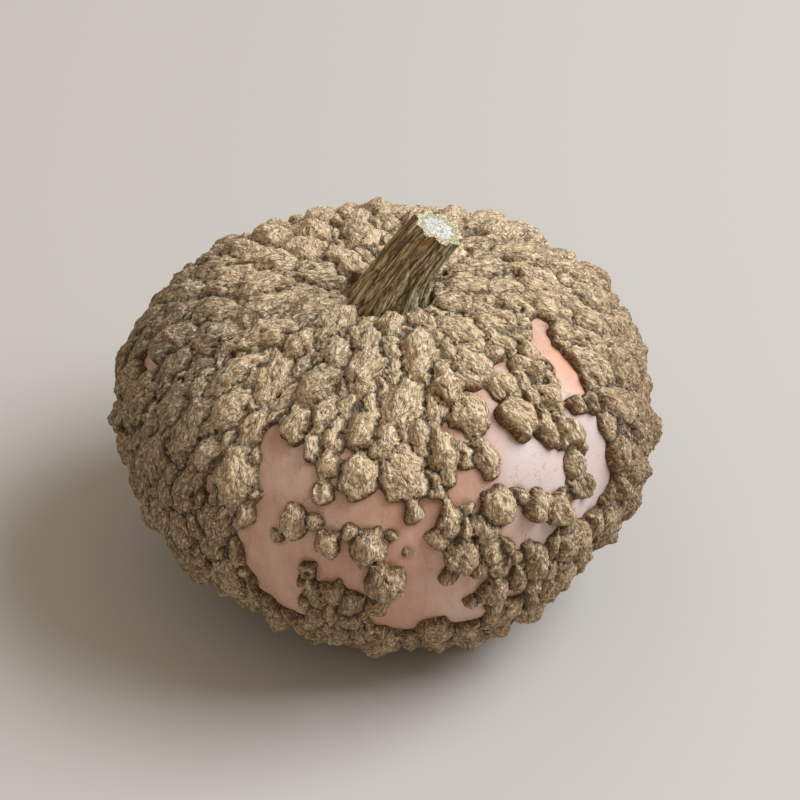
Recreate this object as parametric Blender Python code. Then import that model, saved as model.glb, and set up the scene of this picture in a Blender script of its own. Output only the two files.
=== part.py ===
"""A warty heirloom pumpkin: a flattened, lobed fruit under a crust of corky warts, with its cut stem.

Frame: metres, +Z up, front towards -Y. The origin is the middle of the small flat spot that the fruit rests on.
Directions on the fruit are a longitude (0 towards +X, -90 towards the front) and a latitude above its
widest ring, both in degrees, seen from the centre of the fruit.
"""

import math

import bmesh
import bpy
import numpy as np

MM = 0.001

# The bare rind: a rounded, flattened form with a hollow at the stem
RIND_HALF_WIDTH = 143 * MM
RIND_ABOVE_CENTRE = 88.5 * MM
RIND_BELOW_CENTRE = 100 * MM
ROUNDNESS = 2.2
STEM_HOLLOW_DEPTH = 13 * MM
STEM_HOLLOW_SPREAD = 22

# Furrows between the lobes, at these longitudes
FURROWS = (-160, -122, -81, -38, 2, 42, 84, 124, 162)
FURROW_DEPTH = 3.5 * MM
FURROW_HALF_WIDTH = 8

# Where the grown form swells or falls back: longitude, latitude, spread in degrees, height
SWELLS = (
    (-142, -38, 25, -7 * MM),
    (-66, -50, 25, 6 * MM),
    (-22, -22, 13, -8 * MM),
    (170, 12, 22, 4 * MM),
    (32, 34, 20, 3 * MM),
    (98, 52, 26, -5 * MM),
    (180, 64, 11, -7 * MM),
)

# The flat spot underneath and the flat seat of the stem
REST_DEPTH = 97.5 * MM
SEAT_HEIGHT = 75 * MM
SEAT_RADIUS = 26 * MM
FLAT_TOLERANCE = 0.1 * MM

# Bare rind shows along these strips: from longitude, latitude to longitude, latitude, half-width
BARE_STRIPS = (
    (-121, 27, -115, 10, 7 * MM),
    (-115, 26, -110, 22, 5 * MM),
    (-116, 12, -113, -12, 10 * MM),
    (-112, 18, -80, 15, 8 * MM),
    (-106, 5, -84, 3, 14 * MM),
    (-90, 10, -82, -13, 13 * MM),
    (-121, 4, -117, -10, 7 * MM),
    (-80, -12, -72, -14, 10 * MM),
    (-91, -12, -84, -17, 7 * MM),
    (-76, -5, -70, -4, 6 * MM),
    (-65, -23, -63, -24, 4 * MM),
    (-62, -9, -60, -11, 4 * MM),
    (-72, 20, -60, 21, 5 * MM),
    (-60, 38, -57, 26, 5 * MM),
    (-58, 22, -50, 17, 12 * MM),
    (-62, 8, -54, 5, 6 * MM),
    (-21, 40, -15, 41, 7 * MM),
    (-24, 35, -32, 22, 6 * MM),
    (-32, 22, -35, 6, 7 * MM),
    (-46, 6, -38, 3, 5 * MM),
    (-41, 42, -36, 42, 4 * MM),
    (-175, 19, -170, 19, 6 * MM),
    (-137, 13, -133, 12, 3 * MM),
    (23, 50, 26, 48, 4 * MM),
    (55, 8, 70, -14, 13 * MM),
    (118, 12, 112, -6, 9 * MM),
    (152, -12, 164, -22, 11 * MM),
    (14, -18, 30, -26, 11 * MM),
    (-140, -50, -100, -52, 10 * MM),
    (60, -48, 110, -52, 12 * MM),
)

# Warts set one by one, most of them alone on bare rind:
# longitude, latitude, length, width, height, turn in degrees from the line that runs up to the stem
SET_WARTS = (
    (-105, 19, 12 * MM, 13 * MM, 7 * MM, 0),
    (-110.5, 12, 18 * MM, 16 * MM, 8 * MM, 0),
    (-114, 7.5, 9 * MM, 9 * MM, 5 * MM, 0),
    (-102.5, 9, 17 * MM, 14 * MM, 8 * MM, -20),
    (-106.5, 1.5, 14 * MM, 12 * MM, 7 * MM, 0),
    (-94, 8.5, 22 * MM, 19 * MM, 9 * MM, 10),
    (-90.5, 0, 24 * MM, 22 * MM, 9 * MM, 0),
    (-89, 11, 8 * MM, 8 * MM, 5 * MM, 0),
    (-84, 15.5, 14 * MM, 10 * MM, 6 * MM, 10),
    (-85.5, 6.5, 8 * MM, 6 * MM, 4 * MM, 0),
    (-105, -6, 15 * MM, 16 * MM, 7 * MM, 0),
    (-97.5, -6.5, 17 * MM, 16 * MM, 7 * MM, 15),
    (-106, -14, 17 * MM, 15 * MM, 7 * MM, 0),
    (-98, -13, 13 * MM, 14 * MM, 6 * MM, 0),
    (-76, 13, 19 * MM, 12 * MM, 9 * MM, 12),
    (-74, 4.5, 22 * MM, 17 * MM, 9 * MM, 10),
    (-72, 15.5, 8 * MM, 7 * MM, 5 * MM, 0),
    (-65, 14, 20 * MM, 20 * MM, 10 * MM, 0),
    (-67.5, 4.5, 14 * MM, 13 * MM, 7 * MM, 0),
    (-63, 1, 10 * MM, 11 * MM, 6 * MM, 0),
    (-56, 11.5, 16 * MM, 17 * MM, 9 * MM, 0),
    (-50, 8, 21 * MM, 19 * MM, 9 * MM, -20),
    (-57, -2.5, 22 * MM, 18 * MM, 8 * MM, 0),
    (-47, -2, 22 * MM, 23 * MM, 9 * MM, 0),
    (-67, -6, 20 * MM, 19 * MM, 8 * MM, 0),
    (-64.5, 24, 21 * MM, 14 * MM, 9 * MM, -8),
    (-64.5, 34, 22 * MM, 22 * MM, 9 * MM, 0),
    (-51, 29.5, 24 * MM, 20 * MM, 10 * MM, -20),
    (-49, 37.5, 18 * MM, 19 * MM, 9 * MM, 0),
    (-36, 37, 22 * MM, 16 * MM, 9 * MM, 0),
    (-38, 29, 22 * MM, 16 * MM, 9 * MM, 5),
    (-40, 21.5, 22 * MM, 17 * MM, 9 * MM, 5),
    (-42, 14, 17 * MM, 15 * MM, 8 * MM, 0),
    (-40.5, 8.5, 13 * MM, 11 * MM, 7 * MM, 0),
    (-31.5, 24.5, 10 * MM, 11 * MM, 7 * MM, 0),
    (-28, 22.5, 11 * MM, 10 * MM, 7 * MM, 0),
    (-97, 33, 21 * MM, 17 * MM, 9 * MM, 10),
    (-97, 23, 22 * MM, 21 * MM, 9 * MM, 0),
    (-105, 25, 13 * MM, 13 * MM, 7 * MM, 0),
    (-75, 27, 34 * MM, 14 * MM, 9 * MM, 0),
    (-117, 32, 22 * MM, 18 * MM, 9 * MM, 0),
    (62, 2, 14 * MM, 13 * MM, 8 * MM, 0),
    (66, -8, 10 * MM, 12 * MM, 6 * MM, 0),
    (116, 3, 12 * MM, 11 * MM, 7 * MM, 0),
    (158, -17, 13 * MM, 14 * MM, 7 * MM, 0),
    (22, -22, 13 * MM, 13 * MM, 7 * MM, 0),
    (-118, -51, 14 * MM, 15 * MM, 6 * MM, 0),
    (84, -50, 15 * MM, 13 * MM, 6 * MM, 0),
)

# The crust: warts dealt over the rest of the rind, the large ones first
CRUST_SEED = 7
CRUST_WIDTHS = (24 * MM, 20 * MM, 16 * MM, 13 * MM, 10 * MM, 8 * MM)
CRUST_TRIES = (2600, 5200, 9000, 12000, 12000, 12000)
CRUST_LEAST_HEIGHT = 4.5 * MM
CRUST_HEIGHT_SHARE = 0.19
CRUST_OVERLAP = 0.8
LONGEST_WART = 2.2
MOST_TURN = 24
CRUST_BED = 2 * MM
STEM_MARGIN = 24 * MM
REST_MARGIN = 44 * MM
STRIP_SHARE = 0.75

# How each wart is faceted: a top, a ring of shoulders, a foot, and creases to the warts next to it
SHOULDER_POINTS = 5
SHOULDER_REACH = 0.58
SHOULDER_HEIGHT = 0.88
FOOT_POINTS = 8
FOOT_REACH = 1.06
CREASE_REACH = 1.25
CREASE_HEIGHT = 0.3
CREASE_CLEARANCE = 0.75
SHOULDER_CLEARANCE = 0.9
FOOT_CLEARANCE = 0.97
NEAREST_POINTS = 3.1 * MM
RIND_POINTS = 5200
BARE_POINTS = 1500
RIM_POINTS = 48
MOST_POINTS = 12000
CROWDED_REACH = 1.45
BARE_REACH = 1.35

# The stem: a corky cylinder that leans to the right out of a flared foot
STEM_GAP = 0.3 * MM
STEM_FOOT_RADIUS = 23.5 * MM
STEM_WAIST_RADIUS = 17.5 * MM
STEM_END_RADIUS = 14 * MM
STEM_RISE = 50 * MM
STEM_LEAN = 28 * MM
STEM_FLARE_HEIGHT = 13 * MM
STEM_RIBS = 9
STEM_RIB_DEPTH = 1.3 * MM
STEM_SIDES = 36
STEM_RINGS = 13
STEM_CUT_TILT = 26
STEM_END_DISH = 1.2 * MM
STEM_END_RIM = 2.5 * MM

WART_COLOUR = (0.42, 0.33, 0.21)
RIND_COLOUR = (0.66, 0.42, 0.33)
STEM_COLOUR = (0.21, 0.17, 0.085)


def clear_scene():
    """Removes every object of the open scene."""
    for obj in list(bpy.data.objects):
        bpy.data.objects.remove(obj, do_unlink=True)


def surface_material(name, colour, roughness):
    """A plain Principled material."""
    material = bpy.data.materials.new(name)
    material.use_nodes = True
    shader = material.node_tree.nodes["Principled BSDF"]
    shader.inputs["Base Color"].default_value = (*colour, 1)
    shader.inputs["Roughness"].default_value = roughness
    shader.inputs["Metallic"].default_value = 0
    return material


def direction(longitude, latitude):
    """Unit vectors from the centre of the fruit, for angles in degrees."""
    lon, lat = np.radians(longitude), np.radians(latitude)
    return np.stack([np.cos(lat) * np.cos(lon), np.cos(lat) * np.sin(lon), np.sin(lat)], axis=-1)


def rind_radius(way):
    """How far the bare rind is from the centre, along unit vectors."""
    level = np.hypot(way[..., 0], way[..., 1])
    upright = way[..., 2]
    below_or_above = np.where(upright > 0, RIND_ABOVE_CENTRE, RIND_BELOW_CENTRE)
    spread = (level / RIND_HALF_WIDTH) ** ROUNDNESS + (np.abs(upright) / below_or_above) ** ROUNDNESS
    radius = spread ** (-1 / ROUNDNESS)
    from_stem = 90 - np.degrees(np.arcsin(np.clip(upright, -1, 1)))
    radius = radius - STEM_HOLLOW_DEPTH * np.exp(-((from_stem / STEM_HOLLOW_SPREAD) ** 2))
    longitude = np.degrees(np.arctan2(way[..., 1], way[..., 0]))
    for furrow in FURROWS:
        off = (longitude - furrow + 180) % 360 - 180
        radius = radius - FURROW_DEPTH * level**1.5 * np.exp(-((off / FURROW_HALF_WIDTH) ** 2))
    for lon, lat, width, height in SWELLS:
        off = np.degrees(np.arccos(np.clip(way @ direction(lon, lat), -1, 1)))
        radius = radius + height * np.exp(-((off / width) ** 2))
    return radius


def on_rind(way):
    """Points of the bare rind, seen from the centre of the fruit."""
    return way * rind_radius(way)[..., None]


def strip_distance(points):
    """How far each point is inside the nearest bare strip. Below zero is outside them all."""
    inside = np.full(len(points), -1.0)
    for lon_a, lat_a, lon_b, lat_b, half_width in BARE_STRIPS:
        steps = np.linspace(0, 1, 9)
        line = on_rind(direction(lon_a + (lon_b - lon_a) * steps, lat_a + (lat_b - lat_a) * steps))
        gaps = np.linalg.norm(points[:, None, :] - line[None, :, :], axis=2).min(axis=1)
        inside = np.maximum(inside, half_width - gaps)
    return inside


class Warts:
    """The warts laid so far: where each stands, which way it runs and how large it is."""

    def __init__(self):
        self.ways = np.zeros((0, 3))
        self.points = np.zeros((0, 3))
        self.along = np.zeros((0, 3))
        self.across = np.zeros((0, 3))
        self.halves = np.zeros((0, 2))
        self.heights = np.zeros(0)

    def add(self, way, half_length, half_width, height, turn):
        """Lays one wart. Its turn is from the line that runs up to the stem."""
        north = np.array([0, 0, 1.0]) - way * way[2]
        north /= np.linalg.norm(north)
        east = np.cross(north, way)
        cos, sin = math.cos(math.radians(turn)), math.sin(math.radians(turn))
        self.ways = np.vstack([self.ways, way])
        self.points = np.vstack([self.points, on_rind(way)])
        self.along = np.vstack([self.along, north * cos + east * sin])
        self.across = np.vstack([self.across, east * cos - north * sin])
        self.halves = np.vstack([self.halves, (half_length, half_width)])
        self.heights = np.append(self.heights, height)

    def reach(self, point, own_half=0.0):
        """The distance of a point from each wart, as a share of the wart's size plus the point's own."""
        gap = point - self.points
        along = np.einsum("ij,ij->i", gap, self.along) / (self.halves[:, 0] + own_half)
        across = np.einsum("ij,ij->i", gap, self.across) / (self.halves[:, 1] + own_half)
        far = np.linalg.norm(gap, axis=1) > 3 * (self.halves[:, 0] + own_half)
        return np.where(far, 9.0, np.hypot(along, across))


def lay_warts():
    """The set warts first, then the crust, dealt at random from large to small where there is room."""
    warts = Warts()
    for lon, lat, length, width, height, turn in SET_WARTS:
        warts.add(direction(lon, lat), length / 2, width / 2, height, turn)
    random = np.random.default_rng(CRUST_SEED)
    for width, tries in zip(CRUST_WIDTHS, CRUST_TRIES):
        ways = random.normal(size=(tries, 3))
        ways /= np.linalg.norm(ways, axis=1, keepdims=True)
        stretch = random.uniform(1, LONGEST_WART, tries)
        turns = random.uniform(-MOST_TURN, MOST_TURN, tries)
        sizes = random.uniform(0.9, 1.1, tries) * width / 2
        points = on_rind(ways)
        bare = strip_distance(points)
        long = sizes * stretch**0.5
        margin = np.where(points[:, 2] > 0, STEM_MARGIN, REST_MARGIN)
        clear = (np.hypot(points[:, 0], points[:, 1]) > margin + long) & (bare <= -STRIP_SHARE * sizes)
        for i in np.flatnonzero(clear):
            if warts.reach(points[i], sizes[i]).min() >= CRUST_OVERLAP:
                height = CRUST_LEAST_HEIGHT + 2 * sizes[i] * CRUST_HEIGHT_SHARE
                warts.add(ways[i], long[i], sizes[i] / stretch[i] ** 0.25, height, turns[i])
    return warts


def spread_points(count):
    """Unit vectors spread evenly over the sphere, along a spiral."""
    golden = math.pi * (3 - math.sqrt(5))
    number = np.arange(count)
    upright = 1 - (2 * number + 1) / count
    level = np.sqrt(1 - upright**2)
    return np.stack([level * np.cos(golden * number), level * np.sin(golden * number), upright], axis=1)


def ring_ways(from_axis, height):
    """Directions to the points of a level ring round the axis."""
    turn = np.linspace(0, 2 * math.pi, RIM_POINTS, endpoint=False)
    ring = np.stack([from_axis * np.cos(turn), from_axis * np.sin(turn), np.full(RIM_POINTS, height)], axis=1)
    return ring / np.linalg.norm(ring, axis=1, keepdims=True)


def rest_radius():
    """How wide the flat spot is: where the rind's lower curve meets the surface it rests on."""
    share = 1 - (REST_DEPTH / RIND_BELOW_CENTRE) ** ROUNDNESS
    return RIND_HALF_WIDTH * share ** (1 / ROUNDNESS)


class FacetPoints:
    """The directions and heights of the points that the fruit's faces join, none too close to another."""

    def __init__(self, most):
        self.ways = np.zeros((most, 3))
        self.rises = np.zeros(most)
        self.on_rind = np.zeros((most, 3))
        self.count = 0

    def keep(self, way, rise):
        """Adds a point, unless one stands too near already."""
        point = on_rind(way)
        if self.count and np.linalg.norm(self.on_rind[: self.count] - point, axis=1).min() < NEAREST_POINTS:
            return
        self.ways[self.count] = way
        self.rises[self.count] = rise
        self.on_rind[self.count] = point
        self.count += 1


def crease_points(warts):
    """The lowest point between each pair of neighbouring warts, and its height."""
    for i, point in enumerate(warts.points):
        reaches = warts.reach(point, warts.halves[i].mean())
        for j in np.flatnonzero(reaches < CREASE_REACH):
            if j <= i:
                continue
            share = warts.halves[i].mean() / (warts.halves[i].mean() + warts.halves[j].mean())
            spot = point + share * (warts.points[j] - point)
            way = spot / np.linalg.norm(spot)
            if np.sort(warts.reach(on_rind(way)))[2] > CREASE_CLEARANCE:
                yield way, CREASE_HEIGHT * min(warts.heights[i], warts.heights[j])


def ring_points(warts, reach, count):
    """Points round each wart at a share of its reach: the direction, the wart and how near the others are."""
    for i, point in enumerate(warts.points):
        for k in range(count):
            turn = 2 * math.pi * (k + 0.5 * (i % 2)) / count
            spot = (
                point
                + warts.along[i] * warts.halves[i, 0] * reach * math.cos(turn)
                + warts.across[i] * warts.halves[i, 1] * reach * math.sin(turn)
            )
            way = spot / np.linalg.norm(spot)
            yield way, i, np.sort(warts.reach(on_rind(way)))


def facet_points(warts):
    """The points that the fruit's faces join: flat spots, wart tops, creases, shoulders and feet, then rind."""
    kept = FacetPoints(MOST_POINTS)
    for way in (*ring_ways(SEAT_RADIUS, SEAT_HEIGHT), *ring_ways(rest_radius(), -REST_DEPTH)):
        kept.keep(way, 0.0)
    kept.keep(np.array([0, 0, 1.0]), 0.0)
    kept.keep(np.array([0, 0, -1.0]), 0.0)
    for way, height in zip(warts.ways, warts.heights):
        kept.keep(way, height)
    for way, height in crease_points(warts):
        kept.keep(way, height)
    for way, i, reaches in ring_points(warts, SHOULDER_REACH, SHOULDER_POINTS):
        # A shoulder is inside its own wart, so the wart next to it is the second nearest.
        if reaches[1] > SHOULDER_CLEARANCE:
            kept.keep(way, SHOULDER_HEIGHT * warts.heights[i])
    for way, _, reaches in ring_points(warts, FOOT_REACH, FOOT_POINTS):
        if reaches[0] > FOOT_CLEARANCE:
            kept.keep(way, CRUST_BED * (reaches[2] < CROWDED_REACH))
    for way in spread_points(RIND_POINTS):
        reaches = np.sort(warts.reach(on_rind(way)))
        if reaches[0] > 1 and reaches[2] < CROWDED_REACH:
            kept.keep(way, CRUST_BED)
    for way in spread_points(BARE_POINTS):
        if warts.reach(on_rind(way)).min() > BARE_REACH:
            kept.keep(way, 0.0)
    return kept.ways[: kept.count], kept.rises[: kept.count]


def cut_flat(points, ways, radius, height):
    """Moves the points seen within a level disc of this radius and height onto the disc's plane."""
    facing = ways[:, 2] * height > 0
    drop = np.where(facing, height / np.where(facing, ways[:, 2], 1), 0)
    within = facing & (np.hypot(ways[:, 0], ways[:, 1]) * drop < radius + FLAT_TOLERANCE)
    points[within] = ways[within] * drop[within, None]


def placed(ways, rises):
    """Points of the fruit in the frame, with the stem's seat and the spot underneath cut flat."""
    points = ways * (rind_radius(ways) + rises)[:, None]
    cut_flat(points, ways, SEAT_RADIUS, SEAT_HEIGHT)
    cut_flat(points, ways, rest_radius(), -REST_DEPTH)
    points[:, 2] = np.maximum(points[:, 2], -REST_DEPTH)
    return points + np.array([0, 0, REST_DEPTH])


def make_fruit(wart_material, rind_material):
    """The fruit, one solid: its rind with every wart raised from it."""
    ways, rises = facet_points(lay_warts())
    mesh = bpy.data.meshes.new("fruit")
    shape = bmesh.new()
    for way in ways:
        shape.verts.new(way)
    # Faces that hull points on a sphere join each point to its nearest neighbours.
    bmesh.ops.convex_hull(shape, input=shape.verts)
    shape.verts.index_update()
    lookup = {tuple(np.round(way, 6)): i for i, way in enumerate(ways.astype(np.float32))}
    order = [lookup[tuple(np.round(np.array(vert.co, np.float32), 6))] for vert in shape.verts]
    points = placed(ways, rises)
    for vert, i in zip(shape.verts, order):
        vert.co = points[i]
    for face in shape.faces:
        corners = [rises[order[vert.index]] for vert in face.verts]
        face.material_index = int(max(corners) < CRUST_BED)
    bmesh.ops.recalc_face_normals(shape, faces=shape.faces)
    shape.to_mesh(mesh)
    shape.free()
    mesh.materials.append(wart_material)
    mesh.materials.append(rind_material)
    fruit = bpy.data.objects.new("fruit", mesh)
    bpy.context.scene.collection.objects.link(fruit)
    return fruit


def stem_radius(turn, rise):
    """The stem's radius at a turn round it and a height above its foot."""
    flare = math.exp(-((rise / STEM_FLARE_HEIGHT) ** 1.5))
    taper = STEM_WAIST_RADIUS + (STEM_END_RADIUS - STEM_WAIST_RADIUS) * rise / STEM_RISE
    ribs = STEM_RIB_DEPTH * (1 + 0.8 * flare) * math.cos(STEM_RIBS * turn + 0.5 * math.sin(2 * turn))
    return taper + (STEM_FOOT_RADIUS - STEM_WAIST_RADIUS) * flare + ribs * (1 - 0.5 * flare)


def stem_point(turn, share):
    """A point of the stem's side. The rings turn from level at the foot to the slant of the cut."""
    rise = STEM_RISE * share
    shift = STEM_LEAN * (0.6 * share + 0.4 * share**2)
    tilt = math.radians(STEM_CUT_TILT) * share
    radius = stem_radius(turn, rise)
    out = radius * math.cos(turn)
    return (
        shift + out * math.cos(tilt),
        radius * math.sin(turn),
        rise - out * math.sin(tilt),
    )


def make_stem(material):
    """The stem, one solid: rings of points from its foot to its dished, cut end."""
    mesh = bpy.data.meshes.new("stem")
    shape = bmesh.new()
    rings = []
    for k in range(STEM_RINGS):
        share = (k / (STEM_RINGS - 1)) ** 1.25
        turns = [2 * math.pi * i / STEM_SIDES for i in range(STEM_SIDES)]
        rings.append([shape.verts.new(stem_point(turn, share)) for turn in turns])
    for low, high in zip(rings, rings[1:]):
        for i in range(STEM_SIDES):
            j = (i + 1) % STEM_SIDES
            shape.faces.new((low[i], low[j], high[j], high[i]))
    shape.faces.new(list(reversed(rings[0])))
    end = shape.faces.new(rings[-1])
    bmesh.ops.inset_individual(shape, faces=[end], thickness=STEM_END_RIM, depth=-STEM_END_DISH)
    bmesh.ops.poke(shape, faces=[end])
    bmesh.ops.recalc_face_normals(shape, faces=shape.faces)
    shape.to_mesh(mesh)
    shape.free()
    mesh.materials.append(material)
    stem = bpy.data.objects.new("stem", mesh)
    bpy.context.scene.collection.objects.link(stem)
    stem.location = (0, 0, REST_DEPTH + SEAT_HEIGHT + STEM_GAP)
    return stem


def main():
    """Builds the fruit and its stem."""
    clear_scene()
    wart_material = surface_material("wart", WART_COLOUR, 0.9)
    rind_material = surface_material("rind", RIND_COLOUR, 0.55)
    stem_material = surface_material("stem", STEM_COLOUR, 0.85)
    make_fruit(wart_material, rind_material)
    make_stem(stem_material)


main()
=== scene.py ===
"""The looks of a warty heirloom pumpkin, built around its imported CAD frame.

The pink rind, the corky crust of warts and the cut stem stand for the CAD nodes that they replace. The
crust is one growth, made in regions so that no piece is too large. Lengths are metres, +Z is up, the front is
towards -Y, and the origin is the middle of the flat spot underneath. A direction on the fruit is a longitude
(0 towards +X, -90 towards the front) and a latitude above its widest ring, in degrees, seen from the centre
of the fruit.
"""

import logging
import math
from dataclasses import dataclass, field
from enum import Enum

import bmesh
import bpy
import numpy as np
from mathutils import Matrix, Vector


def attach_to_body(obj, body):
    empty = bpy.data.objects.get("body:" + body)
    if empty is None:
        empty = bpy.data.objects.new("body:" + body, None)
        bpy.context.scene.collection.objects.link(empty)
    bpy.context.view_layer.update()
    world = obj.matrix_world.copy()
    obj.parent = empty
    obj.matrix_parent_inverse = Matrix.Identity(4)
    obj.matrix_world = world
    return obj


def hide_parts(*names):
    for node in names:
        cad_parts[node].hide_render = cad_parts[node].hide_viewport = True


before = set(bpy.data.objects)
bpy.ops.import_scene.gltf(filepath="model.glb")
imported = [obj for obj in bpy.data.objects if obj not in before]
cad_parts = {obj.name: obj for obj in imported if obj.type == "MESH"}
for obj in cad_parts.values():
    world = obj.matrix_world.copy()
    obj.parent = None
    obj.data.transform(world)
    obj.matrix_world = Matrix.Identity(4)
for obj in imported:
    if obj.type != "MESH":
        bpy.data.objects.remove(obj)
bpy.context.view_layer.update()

MM = 0.001
FAR_AWAY = 1.0
BODY = "root"
FRUIT_NODE = "fruit"
STEM_NODE = "stem"

QUARTER_TURN = 90

Array = np.ndarray
Colour = tuple[float, float, float]

log = logging.getLogger("pumpkin")


def srgb(red: int, green: int, blue: int) -> Colour:
    """The linear colour of a paint-chart colour given from 0 to 255."""
    shares = [value / 255 for value in (red, green, blue)]
    return tuple(v / 12.92 if v < 0.04045 else ((v + 0.055) / 1.055) ** 2.4 for v in shares)


class Signal:
    """A value in a node tree, which takes part in Python arithmetic by adding Math nodes."""

    def __init__(self, graph: "Graph", socket: bpy.types.NodeSocket) -> None:
        """Wraps one output socket.

        Args:
            graph: The graph that new nodes are added to.
            socket: The output socket.
        """
        self.graph = graph
        self.socket = socket

    def __add__(self, other: "Signal | float") -> "Signal":
        """The sum."""
        return self.graph.maths("ADD", self, other)

    __radd__ = __add__

    def __sub__(self, other: "Signal | float") -> "Signal":
        """The difference."""
        return self.graph.maths("SUBTRACT", self, other)

    def __rsub__(self, other: "Signal | float") -> "Signal":
        """The difference, from a number."""
        return self.graph.maths("SUBTRACT", other, self)

    def __mul__(self, other: "Signal | float") -> "Signal":
        """The product."""
        return self.graph.maths("MULTIPLY", self, other)

    __rmul__ = __mul__

    def __truediv__(self, other: "Signal | float") -> "Signal":
        """The quotient."""
        return self.graph.maths("DIVIDE", self, other)

    def __rtruediv__(self, other: "Signal | float") -> "Signal":
        """The quotient, of a number."""
        return self.graph.maths("DIVIDE", other, self)

    def __pow__(self, other: "Signal | float") -> "Signal":
        """The power."""
        return self.graph.maths("POWER", self, other)

    def at_least(self, other: "Signal | float") -> "Signal":
        """The larger of the two."""
        return self.graph.maths("MAXIMUM", self, other)

    def ease(self, start: float, end: float) -> "Signal":
        """Rises smoothly from 0 at start to 1 at end, or falls where start is the larger.

        Args:
            start: The value that gives 0.
            end: The value that gives 1.

        Returns:
            The eased value.
        """
        ends = {"Value": self, "From Min": start, "From Max": end}
        if start > end:
            ends = {"Value": self, "From Min": end, "From Max": start, "To Min": 1.0, "To Max": 0.0}
        return self.graph.add("ShaderNodeMapRange", {"interpolation_type": "SMOOTHSTEP"}, ends)

    def twin(self, name: str) -> "Signal":
        """Another output of the same node."""
        return Signal(self.graph, self.socket.node.outputs[name])


class Graph:
    """A node tree, to which nodes are added by type, settings and inputs."""

    def __init__(self, nodes: bpy.types.NodeTree) -> None:
        """Wraps a node tree."""
        self.nodes = nodes

    def add(
        self,
        kind: str,
        settings: dict[str, object] | None = None,
        inputs: dict[str | int, object] | None = None,
        out: str | int = 0,
    ) -> Signal:
        """Adds one node.

        Args:
            kind: The node's type.
            settings: Its own properties, set before its inputs.
            inputs: Values or signals, by the name or the number of their socket.
            out: The output to give back.

        Returns:
            The chosen output.
        """
        node = self.nodes.nodes.new(kind)
        for name, value in (settings or {}).items():
            setattr(node, name, value)
        for name, value in (inputs or {}).items():
            if isinstance(value, Signal):
                self.feed(node, name, value)
            else:
                node.inputs[name].default_value = value
        return Signal(self, node.outputs[out])

    def feed(self, node: bpy.types.Node, name: str | int, value: Signal) -> None:
        """Links a signal to one of a node's inputs."""
        self.nodes.links.new(value.socket, node.inputs[name])

    def carried(self, name: str, out: str = "Fac") -> Signal:
        """An attribute that the mesh carries."""
        return self.add("ShaderNodeAttribute", {"attribute_name": name}, out=out)

    def bump(self, shader: bpy.types.Node, relief: Signal, depth: float, strength: float) -> None:
        """Feeds a shader's normal from a relief of this depth."""
        inputs = {"Height": relief, "Distance": depth, "Strength": strength}
        self.feed(shader, "Normal", self.add("ShaderNodeBump", inputs=inputs))

    def maths(self, operation: str, *terms: Signal | float) -> Signal:
        """One Math node."""
        return self.add("ShaderNodeMath", {"operation": operation}, dict(enumerate(terms)))

    def vectors(self, operation: str, *terms: object, out: str | int = 0) -> Signal:
        """Adds one Vector Math node.

        Args:
            operation: What it does.
            terms: Its vectors, or a vector and the number that scales it.
            out: The output to give back.

        Returns:
            The chosen output.
        """
        inputs = dict(enumerate(terms))
        if operation == "SCALE":
            inputs = {0: terms[0], "Scale": terms[1]}
        return self.add("ShaderNodeVectorMath", {"operation": operation}, inputs, out)

    def blend(self, low: object, high: object, share: Signal | float) -> Signal:
        """Mixes two colours.

        Args:
            low: The colour at a share of 0, as a signal or a plain colour.
            high: The colour at a share of 1.
            share: How much of the second there is.

        Returns:
            The colour between them.
        """
        settings = {"data_type": "RGBA", "clamp_factor": True}
        low, high = (c if isinstance(c, Signal) else (*c, 1.0) for c in (low, high))
        return self.add("ShaderNodeMix", settings, {0: share, 6: low, 7: high}, 2)

    def noise(
        self,
        place: Signal,
        size: float,
        detail: float = 2.0,
        roughness: float = 0.5,
        seed: float = 0.0,
        out: str = "Fac",
        swirl: float = 0.0,
    ) -> Signal:
        """Adds cloudy noise.

        Args:
            place: Where it is looked up.
            size: About how large its spots are, in the units of place.
            detail: How many times it is repeated, each time at half the size.
            roughness: How strong the finer repeats are.
            seed: Which noise it is.
            out: The output to give back.
            swirl: How much it is bent by itself.

        Returns:
            The noise, from 0 to 1 round a middle value of 0.5.
        """
        inputs = {"Vector": place, "W": seed, "Scale": 1 / size, "Detail": detail}
        inputs |= {"Roughness": roughness, "Distortion": swirl}
        return self.add("ShaderNodeTexNoise", {"noise_dimensions": "4D"}, inputs, out)

    def ridges(self, place: Signal, size: float, width: float, seed: float, swirl: float = 0.0) -> Signal:
        """Winding ridges from 1 on their crests down to 0, where noise crosses its middle value."""
        level = self.noise(place, size, 2, 0.5, seed, swirl=swirl)
        return self.maths("ABSOLUTE", level - 0.5).ease(width, 0.0)

    def cells(self, place: Signal, size: float, seed: float = 0.0) -> Signal:
        """Adds a pattern of scattered points.

        Args:
            place: Where it is looked up.
            size: About how far apart the points are, in the units of place.
            seed: Which pattern it is.

        Returns:
            The distance from the nearest point, as a share of the size.
        """
        moved = self.vectors("ADD", place, (17.3 * seed * size, 5.1 * seed * size, 0.0))
        inputs = {"Vector": moved, "Scale": 1 / size}
        return self.add("ShaderNodeTexVoronoi", {"voronoi_dimensions": "3D"}, inputs, "Distance")


class TreeInput(Enum):
    """The kinds of input that a geometry tree takes."""

    SHAPE = "NodeSocketGeometry"
    LENGTH = "NodeSocketFloat"
    OBJECT = "NodeSocketObject"
    FINISH = "NodeSocketMaterial"


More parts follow.
